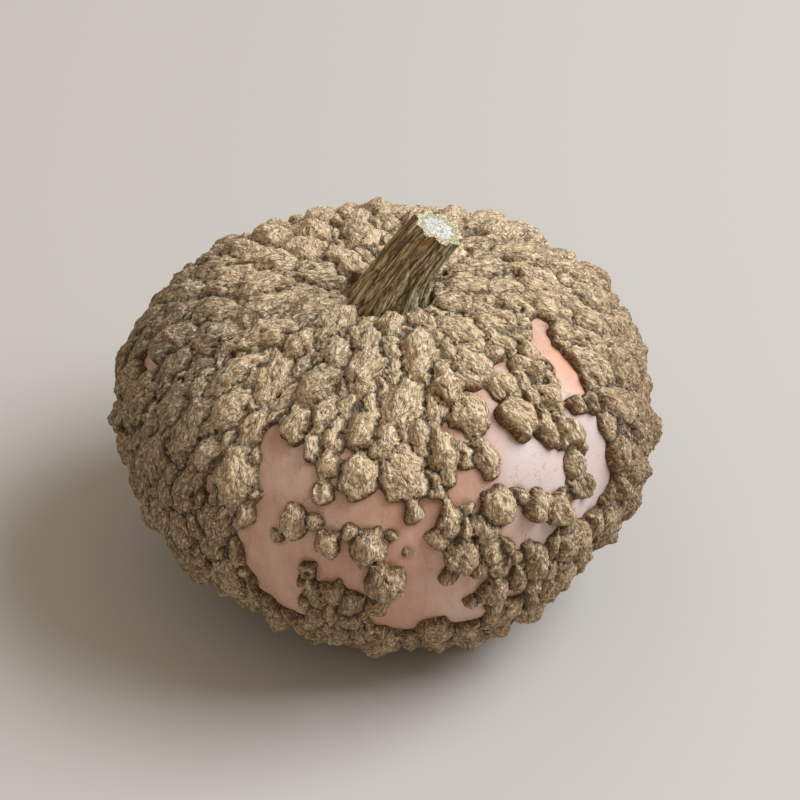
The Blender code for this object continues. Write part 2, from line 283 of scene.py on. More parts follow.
class ShapeTree(Graph):
    """A geometry tree with named inputs, which is run once and leaves a plain mesh."""

    def __init__(self, name: str, inputs: dict[str, tuple[TreeInput, object]]) -> None:
        """Makes the tree.

        Args:
            name: The tree's name.
            inputs: The kind and value of each input, by its name.
        """
        super().__init__(bpy.data.node_groups.new(name, "GeometryNodeTree"))
        face = self.nodes.interface
        face.new_socket("Shape", in_out="INPUT", socket_type=TreeInput.SHAPE.value)
        face.new_socket("Shape", in_out="OUTPUT", socket_type=TreeInput.SHAPE.value)
        self.values: dict[str, object] = {}
        for label, (kind, value) in inputs.items():
            self.values[face.new_socket(label, in_out="INPUT", socket_type=kind.value).identifier] = value
        self.source = self.nodes.nodes.new("NodeGroupInput")

    def given(self, name: str) -> Signal:
        """One of the tree's inputs."""
        return Signal(self, self.source.outputs[name])

    def named(self, name: str, kind: str = "FLOAT") -> Signal:
        """An attribute of the shape."""
        return self.add("GeometryNodeInputNamedAttribute", {"data_type": kind}, {"Name": name})

    def keep(self, shape: Signal, name: str, value: Signal, kind: str = "FLOAT") -> Signal:
        """The shape with one more attribute."""
        inputs = {"Geometry": shape, "Name": name, "Value": value}
        return self.add("GeometryNodeStoreNamedAttribute", {"data_type": kind, "domain": "POINT"}, inputs)

    def finish(self, shape: Signal) -> None:
        """Ends the tree in Realize Instances and Set Material.

        Args:
            shape: The finished shape.
        """
        whole = self.add("GeometryNodeRealizeInstances", inputs={"Geometry": shape})
        inputs = {"Geometry": whole, "Material": self.given("Finish")}
        dressed = self.add("GeometryNodeSetMaterial", inputs=inputs)
        self.feed(self.nodes.nodes.new("NodeGroupOutput"), 0, dressed)

    def put_on(self, obj: bpy.types.Object) -> None:
        """Adds the tree to an object as a modifier, with its inputs set.

        Args:
            obj: The object.
        """
        modifier = obj.modifiers.new(self.nodes.name, "NODES")
        modifier.node_group = self.nodes
        for identifier, value in self.values.items():
            modifier[identifier] = value


def new_object(name: str, mesh: bpy.types.Mesh) -> bpy.types.Object:
    """Makes an object of the scene, at the origin.

    Args:
        name: Its name.
        mesh: Its mesh.

    Returns:
        The object.
    """
    obj = bpy.data.objects.new(name, mesh)
    bpy.context.scene.collection.objects.link(obj)
    return obj


def mesh_of(name: str, points: Array, faces: list | tuple = ()) -> bpy.types.Mesh:
    """Makes a mesh from points and faces.

    Args:
        name: Its name.
        points: The points.
        faces: The corners of each face, in any number.

    Returns:
        The mesh.
    """
    mesh = bpy.data.meshes.new(name)
    mesh.from_pydata(np.asarray(points, float).tolist(), [], faces)
    mesh.update()
    return mesh


def fast_mesh(name: str, points: Array, faces: Array) -> bpy.types.Mesh:
    """Makes a mesh from many points and three-sided faces.

    Args:
        name: Its name.
        points: The points.
        faces: The three corners of each face.

    Returns:
        The mesh.
    """
    mesh = bpy.data.meshes.new(name)
    mesh.vertices.add(len(points))
    mesh.vertices.foreach_set("co", points.astype(np.float32).ravel())
    mesh.loops.add(faces.size)
    mesh.loops.foreach_set("vertex_index", faces.astype(np.int32).ravel())
    mesh.polygons.add(len(faces))
    mesh.polygons.foreach_set("loop_start", np.arange(0, faces.size, 3, dtype=np.int32))
    mesh.update(calc_edges=True)
    return mesh


def even_sphere(fineness: int) -> tuple[Array, Array]:
    """Works out a sphere of even triangles.

    Args:
        fineness: How many times its twenty faces are split, counting the first.

    Returns:
        The unit vectors to its points, and the three corners of each face.
    """
    shape = bmesh.new()
    bmesh.ops.create_icosphere(shape, subdivisions=fineness, radius=1.0)
    mesh = bpy.data.meshes.new("even_sphere")
    shape.to_mesh(mesh)
    shape.free()
    ways = np.zeros(len(mesh.vertices) * 3)
    mesh.vertices.foreach_get("co", ways)
    faces = np.zeros(len(mesh.polygons) * 3, np.int64)
    mesh.polygons.foreach_get("vertices", faces)
    bpy.data.meshes.remove(mesh)
    return unit(ways.reshape(-1, 3)), faces.reshape(-1, 3)


def give(mesh: bpy.types.Mesh, name: str, values: Array) -> None:
    """Adds an attribute to a mesh's points.

    Args:
        mesh: The mesh.
        name: The attribute's name.
        values: A number or a vector for each point.
    """
    vector = values.ndim == 2
    layer = mesh.attributes.new(name, "FLOAT_VECTOR" if vector else "FLOAT", "POINT")
    layer.data.foreach_set("vector" if vector else "value", np.ascontiguousarray(values, np.float32).ravel())


def settle(obj: bpy.types.Object) -> None:
    """Turns an object's modifiers into its mesh.

    Args:
        obj: The object.
    """
    graph = bpy.context.evaluated_depsgraph_get()
    mesh = bpy.data.meshes.new_from_object(obj.evaluated_get(graph))
    obj.modifiers.clear()
    old = obj.data
    obj.data = mesh
    bpy.data.meshes.remove(old)
    mesh.name = obj.name


def triangles(mesh: bpy.types.Mesh) -> int:
    """Counts the triangles that a mesh's faces make.

    Args:
        mesh: The mesh.

    Returns:
        How many there are.
    """
    sides = np.zeros(len(mesh.polygons), np.int32)
    mesh.polygons.foreach_get("loop_total", sides)
    return int((sides - 2).sum())


def ring_faces(rings: int, sides: int) -> Array:
    """Works out the faces of a tube of rings.

    Args:
        rings: How many rings of points it has.
        sides: How many points a ring has.

    Returns:
        The four corners of each face, which faces out where the rings turn left going up.
    """
    ring, side = np.meshgrid(np.arange(rings - 1), np.arange(sides), indexing="ij")
    after = (side + 1) % sides
    below, above = ring * sides, (ring + 1) * sides
    return np.stack([below + side, below + after, above + after, above + side], axis=-1).reshape(-1, 4)


def direction(longitude: float | Array, latitude: float | Array) -> Array:
    """Unit vectors from the centre of the fruit, for angles in degrees."""
    lon, lat = np.radians(longitude), np.radians(latitude)
    return np.stack([np.cos(lat) * np.cos(lon), np.cos(lat) * np.sin(lon), np.sin(lat)], axis=-1)


def unit(vectors: Array) -> Array:
    """The vectors at length one."""
    return vectors / np.linalg.norm(vectors, axis=-1, keepdims=True)


def rounded(share: Array) -> Array:
    """A quarter circle: rises steeply from 0 at 0 and levels off at 1."""
    return np.sqrt(1 - (1 - np.clip(share, 0, 1)) ** 2)


@dataclass(frozen=True)
class RindForm:
    """The grown form of the bare rind, as the CAD solid has it."""

    half_width: float = 143 * MM
    above_centre: float = 88.5 * MM
    below_centre: float = 100 * MM
    roundness: float = 2.2
    stem_hollow_depth: float = 13 * MM
    stem_hollow_spread: float = 22
    furrows: tuple[float, ...] = (-160, -122, -81, -38, 2, 42, 84, 124, 162)
    furrow_depth: float = 3.5 * MM
    furrow_half_width: float = 8
    swells: tuple[tuple[float, float, float, float], ...] = (
        (-142, -38, 25, -7 * MM),
        (-66, -50, 25, 6 * MM),
        (-22, -22, 13, -8 * MM),
        (170, 12, 22, 4 * MM),
        (32, 34, 20, 3 * MM),
        (98, 52, 26, -5 * MM),
        (180, 64, 11, -7 * MM),
    )
    rest_depth: float = 97.5 * MM
    seat_height: float = 75 * MM
    seat_radius: float = 26 * MM
    slope_step: float = 0.01

    def radius(self, way: Array) -> Array:
        """Works out how far the bare rind is from the centre.

        Args:
            way: Unit vectors from the centre of the fruit.

        Returns:
            The distance along each.
        """
        level = np.hypot(way[..., 0], way[..., 1])
        upright = way[..., 2]
        reach = np.where(upright > 0, self.above_centre, self.below_centre)
        spread = (level / self.half_width) ** self.roundness + (np.abs(upright) / reach) ** self.roundness
        radius = spread ** (-1 / self.roundness)
        from_stem = 90 - np.degrees(np.arcsin(np.clip(upright, -1, 1)))
        radius = radius - self.stem_hollow_depth * np.exp(-((from_stem / self.stem_hollow_spread) ** 2))
        longitude = np.degrees(np.arctan2(way[..., 1], way[..., 0]))
        for furrow in self.furrows:
            off = (longitude - furrow + 180) % 360 - 180
            radius = radius - self.furrow_depth * level**1.5 * np.exp(-((off / self.furrow_half_width) ** 2))
        for lon, lat, width, height in self.swells:
            off = np.degrees(np.arccos(np.clip(way @ direction(lon, lat), -1, 1)))
            radius = radius + height * np.exp(-((off / width) ** 2))
        return radius

    def point(self, way: Array) -> Array:
        """Points of the bare rind, seen from the centre of the fruit."""
        return way * self.radius(way)[..., None]

    def normal(self, way: Array) -> Array:
        """Works out the rind's outward normals.

        Args:
            way: Unit vectors from the centre of the fruit.

        Returns:
            The normal where each meets the rind.
        """
        north = unit(np.array([0, 0, 1.0]) - way * way[..., 2:3] + 1e-9)
        east = np.cross(north, way)
        here = self.point(way)
        up = self.point(unit(way + self.slope_step * north)) - here
        along = self.point(unit(way + self.slope_step * east)) - here
        normal = unit(np.cross(along, up))
        return normal * np.sign(np.sum(normal * way, axis=-1, keepdims=True))

    def rest_radius(self) -> float:
        """How wide the flat spot underneath is."""
        share = 1 - (self.rest_depth / self.below_centre) ** self.roundness
        return self.half_width * share ** (1 / self.roundness)

    def flattened(self, points: Array, radius: float, height: float) -> Array:
        """Flattens the rind where a level disc hides it from the centre.

        Args:
            points: Points of the rind, seen from the centre of the fruit.
            radius: The disc's radius.
            height: The disc's height over the centre.

        Returns:
            The points, with those behind the disc moved onto it.
        """
        ways = unit(points)
        facing = ways[:, 2] * height > 0
        reach = np.where(facing, height / np.where(facing, ways[:, 2], 1), 0)
        within = facing & (np.hypot(ways[:, 0], ways[:, 1]) * reach < radius)
        return np.where(within[:, None], ways * reach[:, None], points)

    def in_frame(self, points: Array) -> Array:
        """Points seen from the fruit's centre, moved to the frame."""
        return points + np.array([0, 0, self.rest_depth])


@dataclass
class Warts:
    """The warts as the CAD solid lays them: some set one by one, then the crust, dealt where there is room.

    A bare strip is a longitude and a latitude at each end, and half its width. A set wart is a longitude, a
    latitude, a length, a width, a height and a turn.
    """

    form: RindForm
    bare_strips: tuple[tuple[float, float, float, float, float], ...] = (
        (-121, 27, -115, 10, 7 * MM),
        (-115, 26, -110, 22, 5 * MM),
        (-116, 12, -113, -12, 10 * MM),
        (-112, 18, -80, 15, 8 * MM),
        (-106, 5, -84, 3, 14 * MM),
        (-90, 10, -82, -13, 13 * MM),
        (-121, 4, -117, -10, 7 * MM),
        (-80, -12, -72, -14, 10 * MM),
        (-91, -12, -84, -17, 7 * MM),
        (-76, -5, -70, -4, 6 * MM),
        (-65, -23, -63, -24, 4 * MM),
        (-62, -9, -60, -11, 4 * MM),
        (-72, 20, -60, 21, 5 * MM),
        (-60, 38, -57, 26, 5 * MM),
        (-58, 22, -50, 17, 12 * MM),
        (-62, 8, -54, 5, 6 * MM),
        (-21, 40, -15, 41, 7 * MM),
        (-24, 35, -32, 22, 6 * MM),
        (-32, 22, -35, 6, 7 * MM),
        (-46, 6, -38, 3, 5 * MM),
        (-41, 42, -36, 42, 4 * MM),
        (-175, 19, -170, 19, 6 * MM),
        (-137, 13, -133, 12, 3 * MM),
        (23, 50, 26, 48, 4 * MM),
        (55, 8, 70, -14, 13 * MM),
        (118, 12, 112, -6, 9 * MM),
        (152, -12, 164, -22, 11 * MM),
        (14, -18, 30, -26, 11 * MM),
        (-140, -50, -100, -52, 10 * MM),
        (60, -48, 110, -52, 12 * MM),
    )
    set_warts: tuple[tuple[float, float, float, float, float, float], ...] = (
        (-105, 19, 12 * MM, 13 * MM, 7 * MM, 0),
        (-110.5, 12, 18 * MM, 16 * MM, 8 * MM, 0),
        (-114, 7.5, 9 * MM, 9 * MM, 5 * MM, 0),
        (-102.5, 9, 17 * MM, 14 * MM, 8 * MM, -20),
        (-106.5, 1.5, 14 * MM, 12 * MM, 7 * MM, 0),
        (-94, 8.5, 22 * MM, 19 * MM, 9 * MM, 10),
        (-90.5, 0, 24 * MM, 22 * MM, 9 * MM, 0),
        (-89, 11, 8 * MM, 8 * MM, 5 * MM, 0),
        (-84, 15.5, 14 * MM, 10 * MM, 6 * MM, 10),
        (-85.5, 6.5, 8 * MM, 6 * MM, 4 * MM, 0),
        (-105, -6, 15 * MM, 16 * MM, 7 * MM, 0),
        (-97.5, -6.5, 17 * MM, 16 * MM, 7 * MM, 15),
        (-106, -14, 17 * MM, 15 * MM, 7 * MM, 0),
        (-98, -13, 13 * MM, 14 * MM, 6 * MM, 0),
        (-76, 13, 19 * MM, 12 * MM, 9 * MM, 12),
        (-74, 4.5, 22 * MM, 17 * MM, 9 * MM, 10),
        (-72, 15.5, 8 * MM, 7 * MM, 5 * MM, 0),
        (-65, 14, 20 * MM, 20 * MM, 10 * MM, 0),
        (-67.5, 4.5, 14 * MM, 13 * MM, 7 * MM, 0),
        (-63, 1, 10 * MM, 11 * MM, 6 * MM, 0),
        (-56, 11.5, 16 * MM, 17 * MM, 9 * MM, 0),
        (-50, 8, 21 * MM, 19 * MM, 9 * MM, -20),
        (-57, -2.5, 22 * MM, 18 * MM, 8 * MM, 0),
        (-47, -2, 22 * MM, 23 * MM, 9 * MM, 0),
        (-67, -6, 20 * MM, 19 * MM, 8 * MM, 0),
        (-64.5, 24, 21 * MM, 14 * MM, 9 * MM, -8),
        (-64.5, 34, 22 * MM, 22 * MM, 9 * MM, 0),
        (-51, 29.5, 24 * MM, 20 * MM, 10 * MM, -20),
        (-49, 37.5, 18 * MM, 19 * MM, 9 * MM, 0),
        (-36, 37, 22 * MM, 16 * MM, 9 * MM, 0),
        (-38, 29, 22 * MM, 16 * MM, 9 * MM, 5),
        (-40, 21.5, 22 * MM, 17 * MM, 9 * MM, 5),
        (-42, 14, 17 * MM, 15 * MM, 8 * MM, 0),
        (-40.5, 8.5, 13 * MM, 11 * MM, 7 * MM, 0),
        (-31.5, 24.5, 10 * MM, 11 * MM, 7 * MM, 0),
        (-28, 22.5, 11 * MM, 10 * MM, 7 * MM, 0),
        (-97, 33, 21 * MM, 17 * MM, 9 * MM, 10),
        (-97, 23, 22 * MM, 21 * MM, 9 * MM, 0),
        (-105, 25, 13 * MM, 13 * MM, 7 * MM, 0),
        (-75, 27, 34 * MM, 14 * MM, 9 * MM, 0),
        (-117, 32, 22 * MM, 18 * MM, 9 * MM, 0),
        (62, 2, 14 * MM, 13 * MM, 8 * MM, 0),
        (66, -8, 10 * MM, 12 * MM, 6 * MM, 0),
        (116, 3, 12 * MM, 11 * MM, 7 * MM, 0),
        (158, -17, 13 * MM, 14 * MM, 7 * MM, 0),
        (22, -22, 13 * MM, 13 * MM, 7 * MM, 0),
        (-118, -51, 14 * MM, 15 * MM, 6 * MM, 0),
        (84, -50, 15 * MM, 13 * MM, 6 * MM, 0),
    )
    seed: int = 7
    widths: tuple[float, ...] = (24 * MM, 20 * MM, 16 * MM, 13 * MM, 10 * MM, 8 * MM)
    tries: tuple[int, ...] = (2600, 5200, 9000, 12000, 12000, 12000)
    least_height: float = 4.5 * MM
    height_share: float = 0.19
    overlap: float = 0.8
    longest: float = 2.2
    most_turn: float = 24
    strip_share: float = 0.75
    stem_margin: float = 24 * MM
    rest_margin: float = 44 * MM
    strip_steps: int = 9
    far_share: float = 3
    foot_reach: float = 12 * MM
    ways: Array = field(default_factory=lambda: np.zeros((0, 3)))
    points: Array = field(default_factory=lambda: np.zeros((0, 3)))
    along: Array = field(default_factory=lambda: np.zeros((0, 3)))
    across: Array = field(default_factory=lambda: np.zeros((0, 3)))
    halves: Array = field(default_factory=lambda: np.zeros((0, 2)))
    heights: Array = field(default_factory=lambda: np.zeros(0))

    def __post_init__(self) -> None:
        """Lays the warts."""
        for lon, lat, length, width, height, turn in self.set_warts:
            self.add(direction(lon, lat), length / 2, width / 2, height, turn)
        random = np.random.default_rng(self.seed)
        for width, tries in zip(self.widths, self.tries):
            self.deal(random, width, tries)

    def add(self, way: Array, half_length: float, half_width: float, height: float, turn: float) -> None:
        """Lays one wart.

        Args:
            way: The unit vector towards it from the centre of the fruit.
            half_length: Half its length.
            half_width: Half its width.
            height: How far it rises from the rind.
            turn: Its turn from the line that runs up to the stem, in degrees.
        """
        north = unit(np.array([0, 0, 1.0]) - way * way[2])
        east = np.cross(north, way)
        cos, sin = math.cos(math.radians(turn)), math.sin(math.radians(turn))
        self.ways = np.vstack([self.ways, way])
        self.points = np.vstack([self.points, self.form.point(way)])
        self.along = np.vstack([self.along, north * cos + east * sin])
        self.across = np.vstack([self.across, east * cos - north * sin])
        self.halves = np.vstack([self.halves, (half_length, half_width)])
        self.heights = np.append(self.heights, height)

    def deal(self, random: np.random.Generator, width: float, tries: int) -> None:
        """Deals warts of about one width at random where there is room.

        Args:
            random: The source of every draw.
            width: Their width.
            tries: How many places are tried.
        """
        ways = unit(random.normal(size=(tries, 3)))
        stretch = random.uniform(1, self.longest, tries)
        turns = random.uniform(-self.most_turn, self.most_turn, tries)
        sizes = random.uniform(0.9, 1.1, tries) * width / 2
        points = self.form.point(ways)
        bare = self.strip_distance(points)
        long = sizes * stretch**0.5
        margin = np.where(points[:, 2] > 0, self.stem_margin, self.rest_margin)
        clear = (np.hypot(points[:, 0], points[:, 1]) > margin + long) & (bare <= -self.strip_share * sizes)
        for i in np.flatnonzero(clear):
            if self.reach(points[i], sizes[i]).min() >= self.overlap:
                height = self.least_height + 2 * sizes[i] * self.height_share
                self.add(ways[i], long[i], sizes[i] / stretch[i] ** 0.25, height, turns[i])

    def reach(self, point: Array, own_half: float = 0.0) -> Array:
        """The distance of a point from each wart, as a share of the wart's size plus the point's own.

        Args:
            point: The point, seen from the centre of the fruit.
            own_half: Half the width of what stands there.

        Returns:
            One share for each wart.
        """
        gap = point - self.points
        along = np.einsum("ij,ij->i", gap, self.along) / (self.halves[:, 0] + own_half)
        across = np.einsum("ij,ij->i", gap, self.across) / (self.halves[:, 1] + own_half)
        far = np.linalg.norm(gap, axis=1) > self.far_share * (self.halves[:, 0] + own_half)
        return np.where(far, np.inf, np.hypot(along, across))

    def strip_distance(self, points: Array) -> Array:
        """Works out how far points are inside the bare strips.

        Args:
            points: The points, seen from the centre of the fruit.

        Returns:
            Each point's distance inside the nearest strip, below zero where it is outside them all.
        """
        inside = np.full(len(points), -FAR_AWAY)
        steps = np.linspace(0, 1, self.strip_steps)
        for lon_a, lat_a, lon_b, lat_b, half_width in self.bare_strips:
            lon, lat = lon_a + (lon_b - lon_a) * steps, lat_a + (lat_b - lat_a) * steps
            line = self.form.point(direction(lon, lat))
            gaps = np.linalg.norm(points[:, None, :] - line[None, :, :], axis=2).min(axis=1)
            inside = np.maximum(inside, half_width - gaps)
        return inside

    def bare_distance(self, points: Array) -> Array:
        """Works out how far points of the rind are from the foot of the nearest wart.

        Args:
            points: The points, seen from the centre of the fruit.

        Returns:
            Their distances, below zero under a wart.
        """
        nearest = np.full(len(points), FAR_AWAY)
        for centre, along, across, (half_a, half_b) in zip(self.points, self.along, self.across, self.halves):
            gap = points - centre
            close = np.flatnonzero(np.abs(gap).max(axis=1) < half_a + self.foot_reach)
            near = gap[close]
            share = np.hypot(near @ along / half_a, near @ across / half_b)
            length = np.linalg.norm(near, axis=1)
            foot = length * (1 - 1 / np.maximum(share, 1e-6))
            nearest[close] = np.minimum(nearest[close], foot)
        return nearest


@dataclass(frozen=True)
class RindFinish:
    """Satin salmon-pink skin, blotched and freckled, with faint streaks, a paler patch on the right front
    that is partly its own tone and partly painted sheen, and a brown halo with painted contact shade round
    each wart's foot.
    """

    pink: Colour = srgb(194, 143, 119)
    pale: Colour = srgb(218, 190, 173)
    # Pale greyish pink on the right front: partly the skin's own paler tone, partly painted sheen of the
    # light from the right.
    pale_and_sheen: Colour = srgb(200, 181, 175)
    pale_and_sheen_centre: tuple[float, float, float] = (0.098, -0.094, 0.128)
    pale_and_sheen_reach: tuple[float, float] = (62 * MM, 24 * MM)
    pale_and_sheen_stray: float = 50 * MM
    orange: Colour = srgb(222, 150, 112)
    orange_centre: tuple[float, float, float] = (0.108, -0.035, 0.162)
    orange_reach: tuple[float, float] = (34 * MM, 12 * MM)
    # Brown round each wart's foot: partly a real brown halo, partly painted contact shade where the wart
    # meets the rind.
    foot_stain_and_shade: Colour = srgb(150, 108, 78)
    foot_stain_and_shade_reach: tuple[float, float] = (2.0, -0.6)
    freckle: Colour = srgb(140, 92, 66)
    blotch_size: float = 70 * MM
    cloud_size: float = 14 * MM
    streak_width: float = 5 * MM
    streak_squash: float = 0.12
    freckle_size: float = 2.4 * MM
    scuff_size: float = 4 * MM
    scuff_squash: float = 0.3
    pore_size: float = 2.2 * MM
    roughness: float = 0.39
    streak_roughness: float = 0.14
    sheen: float = 0.04
    bump: float = 0.25 * MM

    def material(self) -> bpy.types.Material:
        """Builds the node material.

        Returns:
            The material.
        """
        material, graph, shader = plain_material("rind_skin", self.sheen)
        place = graph.add("ShaderNodeTexCoord", out="Object")
        tall = graph.vectors("MULTIPLY", place, (1.0, 1.0, self.streak_squash))
        blotch = graph.noise(place, self.blotch_size, 3, 0.55, 1.0)
        streak = graph.noise(tall, self.streak_width, 3, 0.6, 2.0)
        cloud = graph.noise(place, self.cloud_size, 3, 0.6, 3.0)
        tone = (blotch * 0.8 + streak * 0.25 + cloud * 0.2).ease(0.45, 0.85)
        colour = graph.blend(self.pink, self.pale, tone)
        # Paler patch on the right front: partly own tone, partly painted sheen.
        pale_and_sheen = graph.vectors("DISTANCE", place, self.pale_and_sheen_centre, out="Value")
        pale_and_sheen = (pale_and_sheen + (blotch - 0.5) * self.pale_and_sheen_stray).ease(*self.pale_and_sheen_reach)
        colour = graph.blend(colour, self.pale_and_sheen, pale_and_sheen)
        patch = graph.vectors("DISTANCE", place, self.orange_centre, out="Value")
        colour = graph.blend(colour, self.orange, patch.ease(*self.orange_reach) * 0.75)
        spots = graph.cells(place, self.freckle_size, seed=4.0)
        sparse = graph.noise(place, 7 * MM, 2, 0.5, 5.0).ease(0.46, 0.66)
        colour = graph.blend(colour, self.freckle, spots.ease(0.3, 0.14) * sparse * 0.4)
        scuff_place = graph.vectors("MULTIPLY", place, (1.0, 1.0, self.scuff_squash))
        scuffs = graph.ridges(scuff_place, self.scuff_size, 0.03, 8.0, 0.8)
        colour = graph.blend(colour, self.freckle, scuffs * sparse * 0.35)
        # Brown band at each wart's foot: a real brown halo with painted contact shade.
        edge = graph.carried("foot_mm") + (graph.noise(place, 4 * MM, 3, 0.6, 6.0) - 0.5) * 5.0
        colour = graph.blend(colour, self.foot_stain_and_shade, edge.ease(*self.foot_stain_and_shade_reach) * 0.6)
        graph.feed(shader, "Base Color", colour)
        graph.feed(shader, "Roughness", streak * self.streak_roughness + self.roughness)
        relief = graph.noise(place, self.pore_size, 3, 0.6, 7.0) + streak * 0.6
        graph.bump(shader, relief, self.bump, 0.5)
        return material


def plain_material(name: str, sheen: float) -> tuple[bpy.types.Material, Graph, bpy.types.Node]:
    """A new node material.

    Args:
        name: Its name.
        sheen: How strong its soft sheen is.

    Returns:
        The material, its graph and its Principled shader.
    """
    material = bpy.data.materials.new(name)
    material.use_nodes = True
    shader = material.node_tree.nodes["Principled BSDF"]
    shader.inputs["Sheen Weight"].default_value = sheen
    return material, Graph(material.node_tree), shader


@dataclass(frozen=True)
class CorkFinish:
    """Dry cork: pale, crumbled tops, smoother ochre-brown sides with upright fibres, dark grain with painted
    shade in its fine grooves, painted shade in the clefts and round the warts' feet, and painted shade on the
    left and the lower flanks.
    """

    crest: Colour = srgb(208, 179, 142)
    grey: Colour = srgb(146, 126, 98)
    flake: Colour = srgb(246, 230, 202)
    # Dark brown of the pits and fine grooves: partly the cork's own colour, partly painted shade where the
    # bump sinks.
    pit_and_groove_shade: Colour = srgb(98, 70, 45)
    side: Colour = srgb(122, 92, 59)
    ochre: Colour = srgb(140, 102, 64)
    # Painted shade for the clefts between warts, the hollows and the warts' feet.
    crease_shade: Colour = srgb(48, 31, 18)
    mottle_size: float = 8 * MM
    patch_size: float = 60 * MM
    valley_size: float = 3.6
    streak_width: float = 1.7
    crumb_size: float = 2.0 * MM
    strand_width: float = 1.6
    # Where painted shade greys or browns the crust: the left flank, the lower right and everything low.
    shaded_left: tuple[float, float] = (-60 * MM, -130 * MM)
    shaded_right: tuple[float, float] = (60 * MM, 130 * MM)
    shaded_right_level: tuple[float, float] = (195 * MM, 115 * MM)
    shaded_low_level: tuple[float, float] = (155 * MM, 85 * MM)
    roughness: float = 0.92
    bump: float = 1.6 * MM

    def material(self) -> bpy.types.Material:
        """Builds the node material.

        Returns:
            The material.
        """
        material, graph, shader = plain_material("wart_cork", 0.0)
        place = graph.add("ShaderNodeTexCoord", out="Object")
        pick = graph.carried("pick")
        grain, fibre = graph.carried("grain_mm", "Vector"), graph.carried("fibre_mm", "Vector")
        mottle = graph.noise(place, self.mottle_size, 3, 0.6, 1.0)
        patch = graph.noise(place, self.patch_size, 2, 0.5, 4.0)
        valleys = graph.ridges(grain, self.valley_size, 0.05, 2.0, 0.8)
        streaks = graph.noise(grain, self.streak_width, 2, 0.5, 5.0, swirl=0.9)
        crumbs = graph.noise(place, self.crumb_size, 2, 0.5, 7.0, swirl=0.8)
        strand = graph.ridges(fibre, self.strand_width, 0.08, 3.0, 0.3)
        rough = streaks * 0.65 + crumbs * 0.35
        top = (graph.carried("top") + (mottle - 0.5) * 0.4).ease(0.1, 0.7)

        along = graph.add("ShaderNodeSeparateXYZ", inputs={0: place})
        level = along.twin("Z")
        # Painted shade by place: the crust is greyed on the left flank and turned to the brown side colour on
        # the lower right and low down, with fewer pale flakes there.
        left = along.ease(*self.shaded_left)
        right = along.ease(*self.shaded_right) * level.ease(*self.shaded_right_level)
        low = right.at_least(level.ease(*self.shaded_low_level) * (0.8 - left * 0.6))
        crest = graph.blend(self.crest, self.grey, (patch + pick * 0.12 + left * 0.6).ease(0.55, 1.0) * 0.9)
        crest = graph.blend(crest, self.side, low * 0.75)
        crest = graph.blend(crest, self.flake, rough.ease(0.46, 0.68) * (0.9 - low.at_least(left) * 0.36))
        # Darker where the bump's valleys and low crumbs sink: dark cork with painted shade.
        crest = graph.blend(crest, self.pit_and_groove_shade, (valleys * 0.7).at_least(rough.ease(0.47, 0.34)) * 0.66)

        side = graph.blend(self.side, self.ochre, (mottle + pick * 0.2).ease(0.5, 0.85))
        side = graph.blend(side, self.crest, crumbs.ease(0.48, 0.62) * 0.7)
        # The fibre grooves on the sides are darkened too: dark cork with painted shade.
        side = graph.blend(side, self.pit_and_groove_shade, strand * 0.6)
        colour = graph.blend(side, crest, top)

        # Painted shade: darkens the hollows, the creases between warts and the foot of each wart.
        deep = (graph.carried("hollow_mm") + (crumbs - 0.5) * 0.3).ease(0.15, 0.75)
        narrow = (graph.carried("edge") + (mottle - 0.5) * 1.2).ease(1.5, 0.4) * 0.75
        foot = graph.carried("rise").ease(0.25, 0.0) * 0.5
        colour = graph.blend(colour, self.crease_shade, deep.at_least(narrow).at_least(foot) * 0.85)
        graph.feed(shader, "Base Color", colour)
        shader.inputs["Roughness"].default_value = self.roughness
        relief = crumbs * 0.6 + (streaks - valleys * 0.4) * top - strand * (1.0 - top) * 0.5
        graph.bump(shader, relief, self.bump, 1.0)
        return material


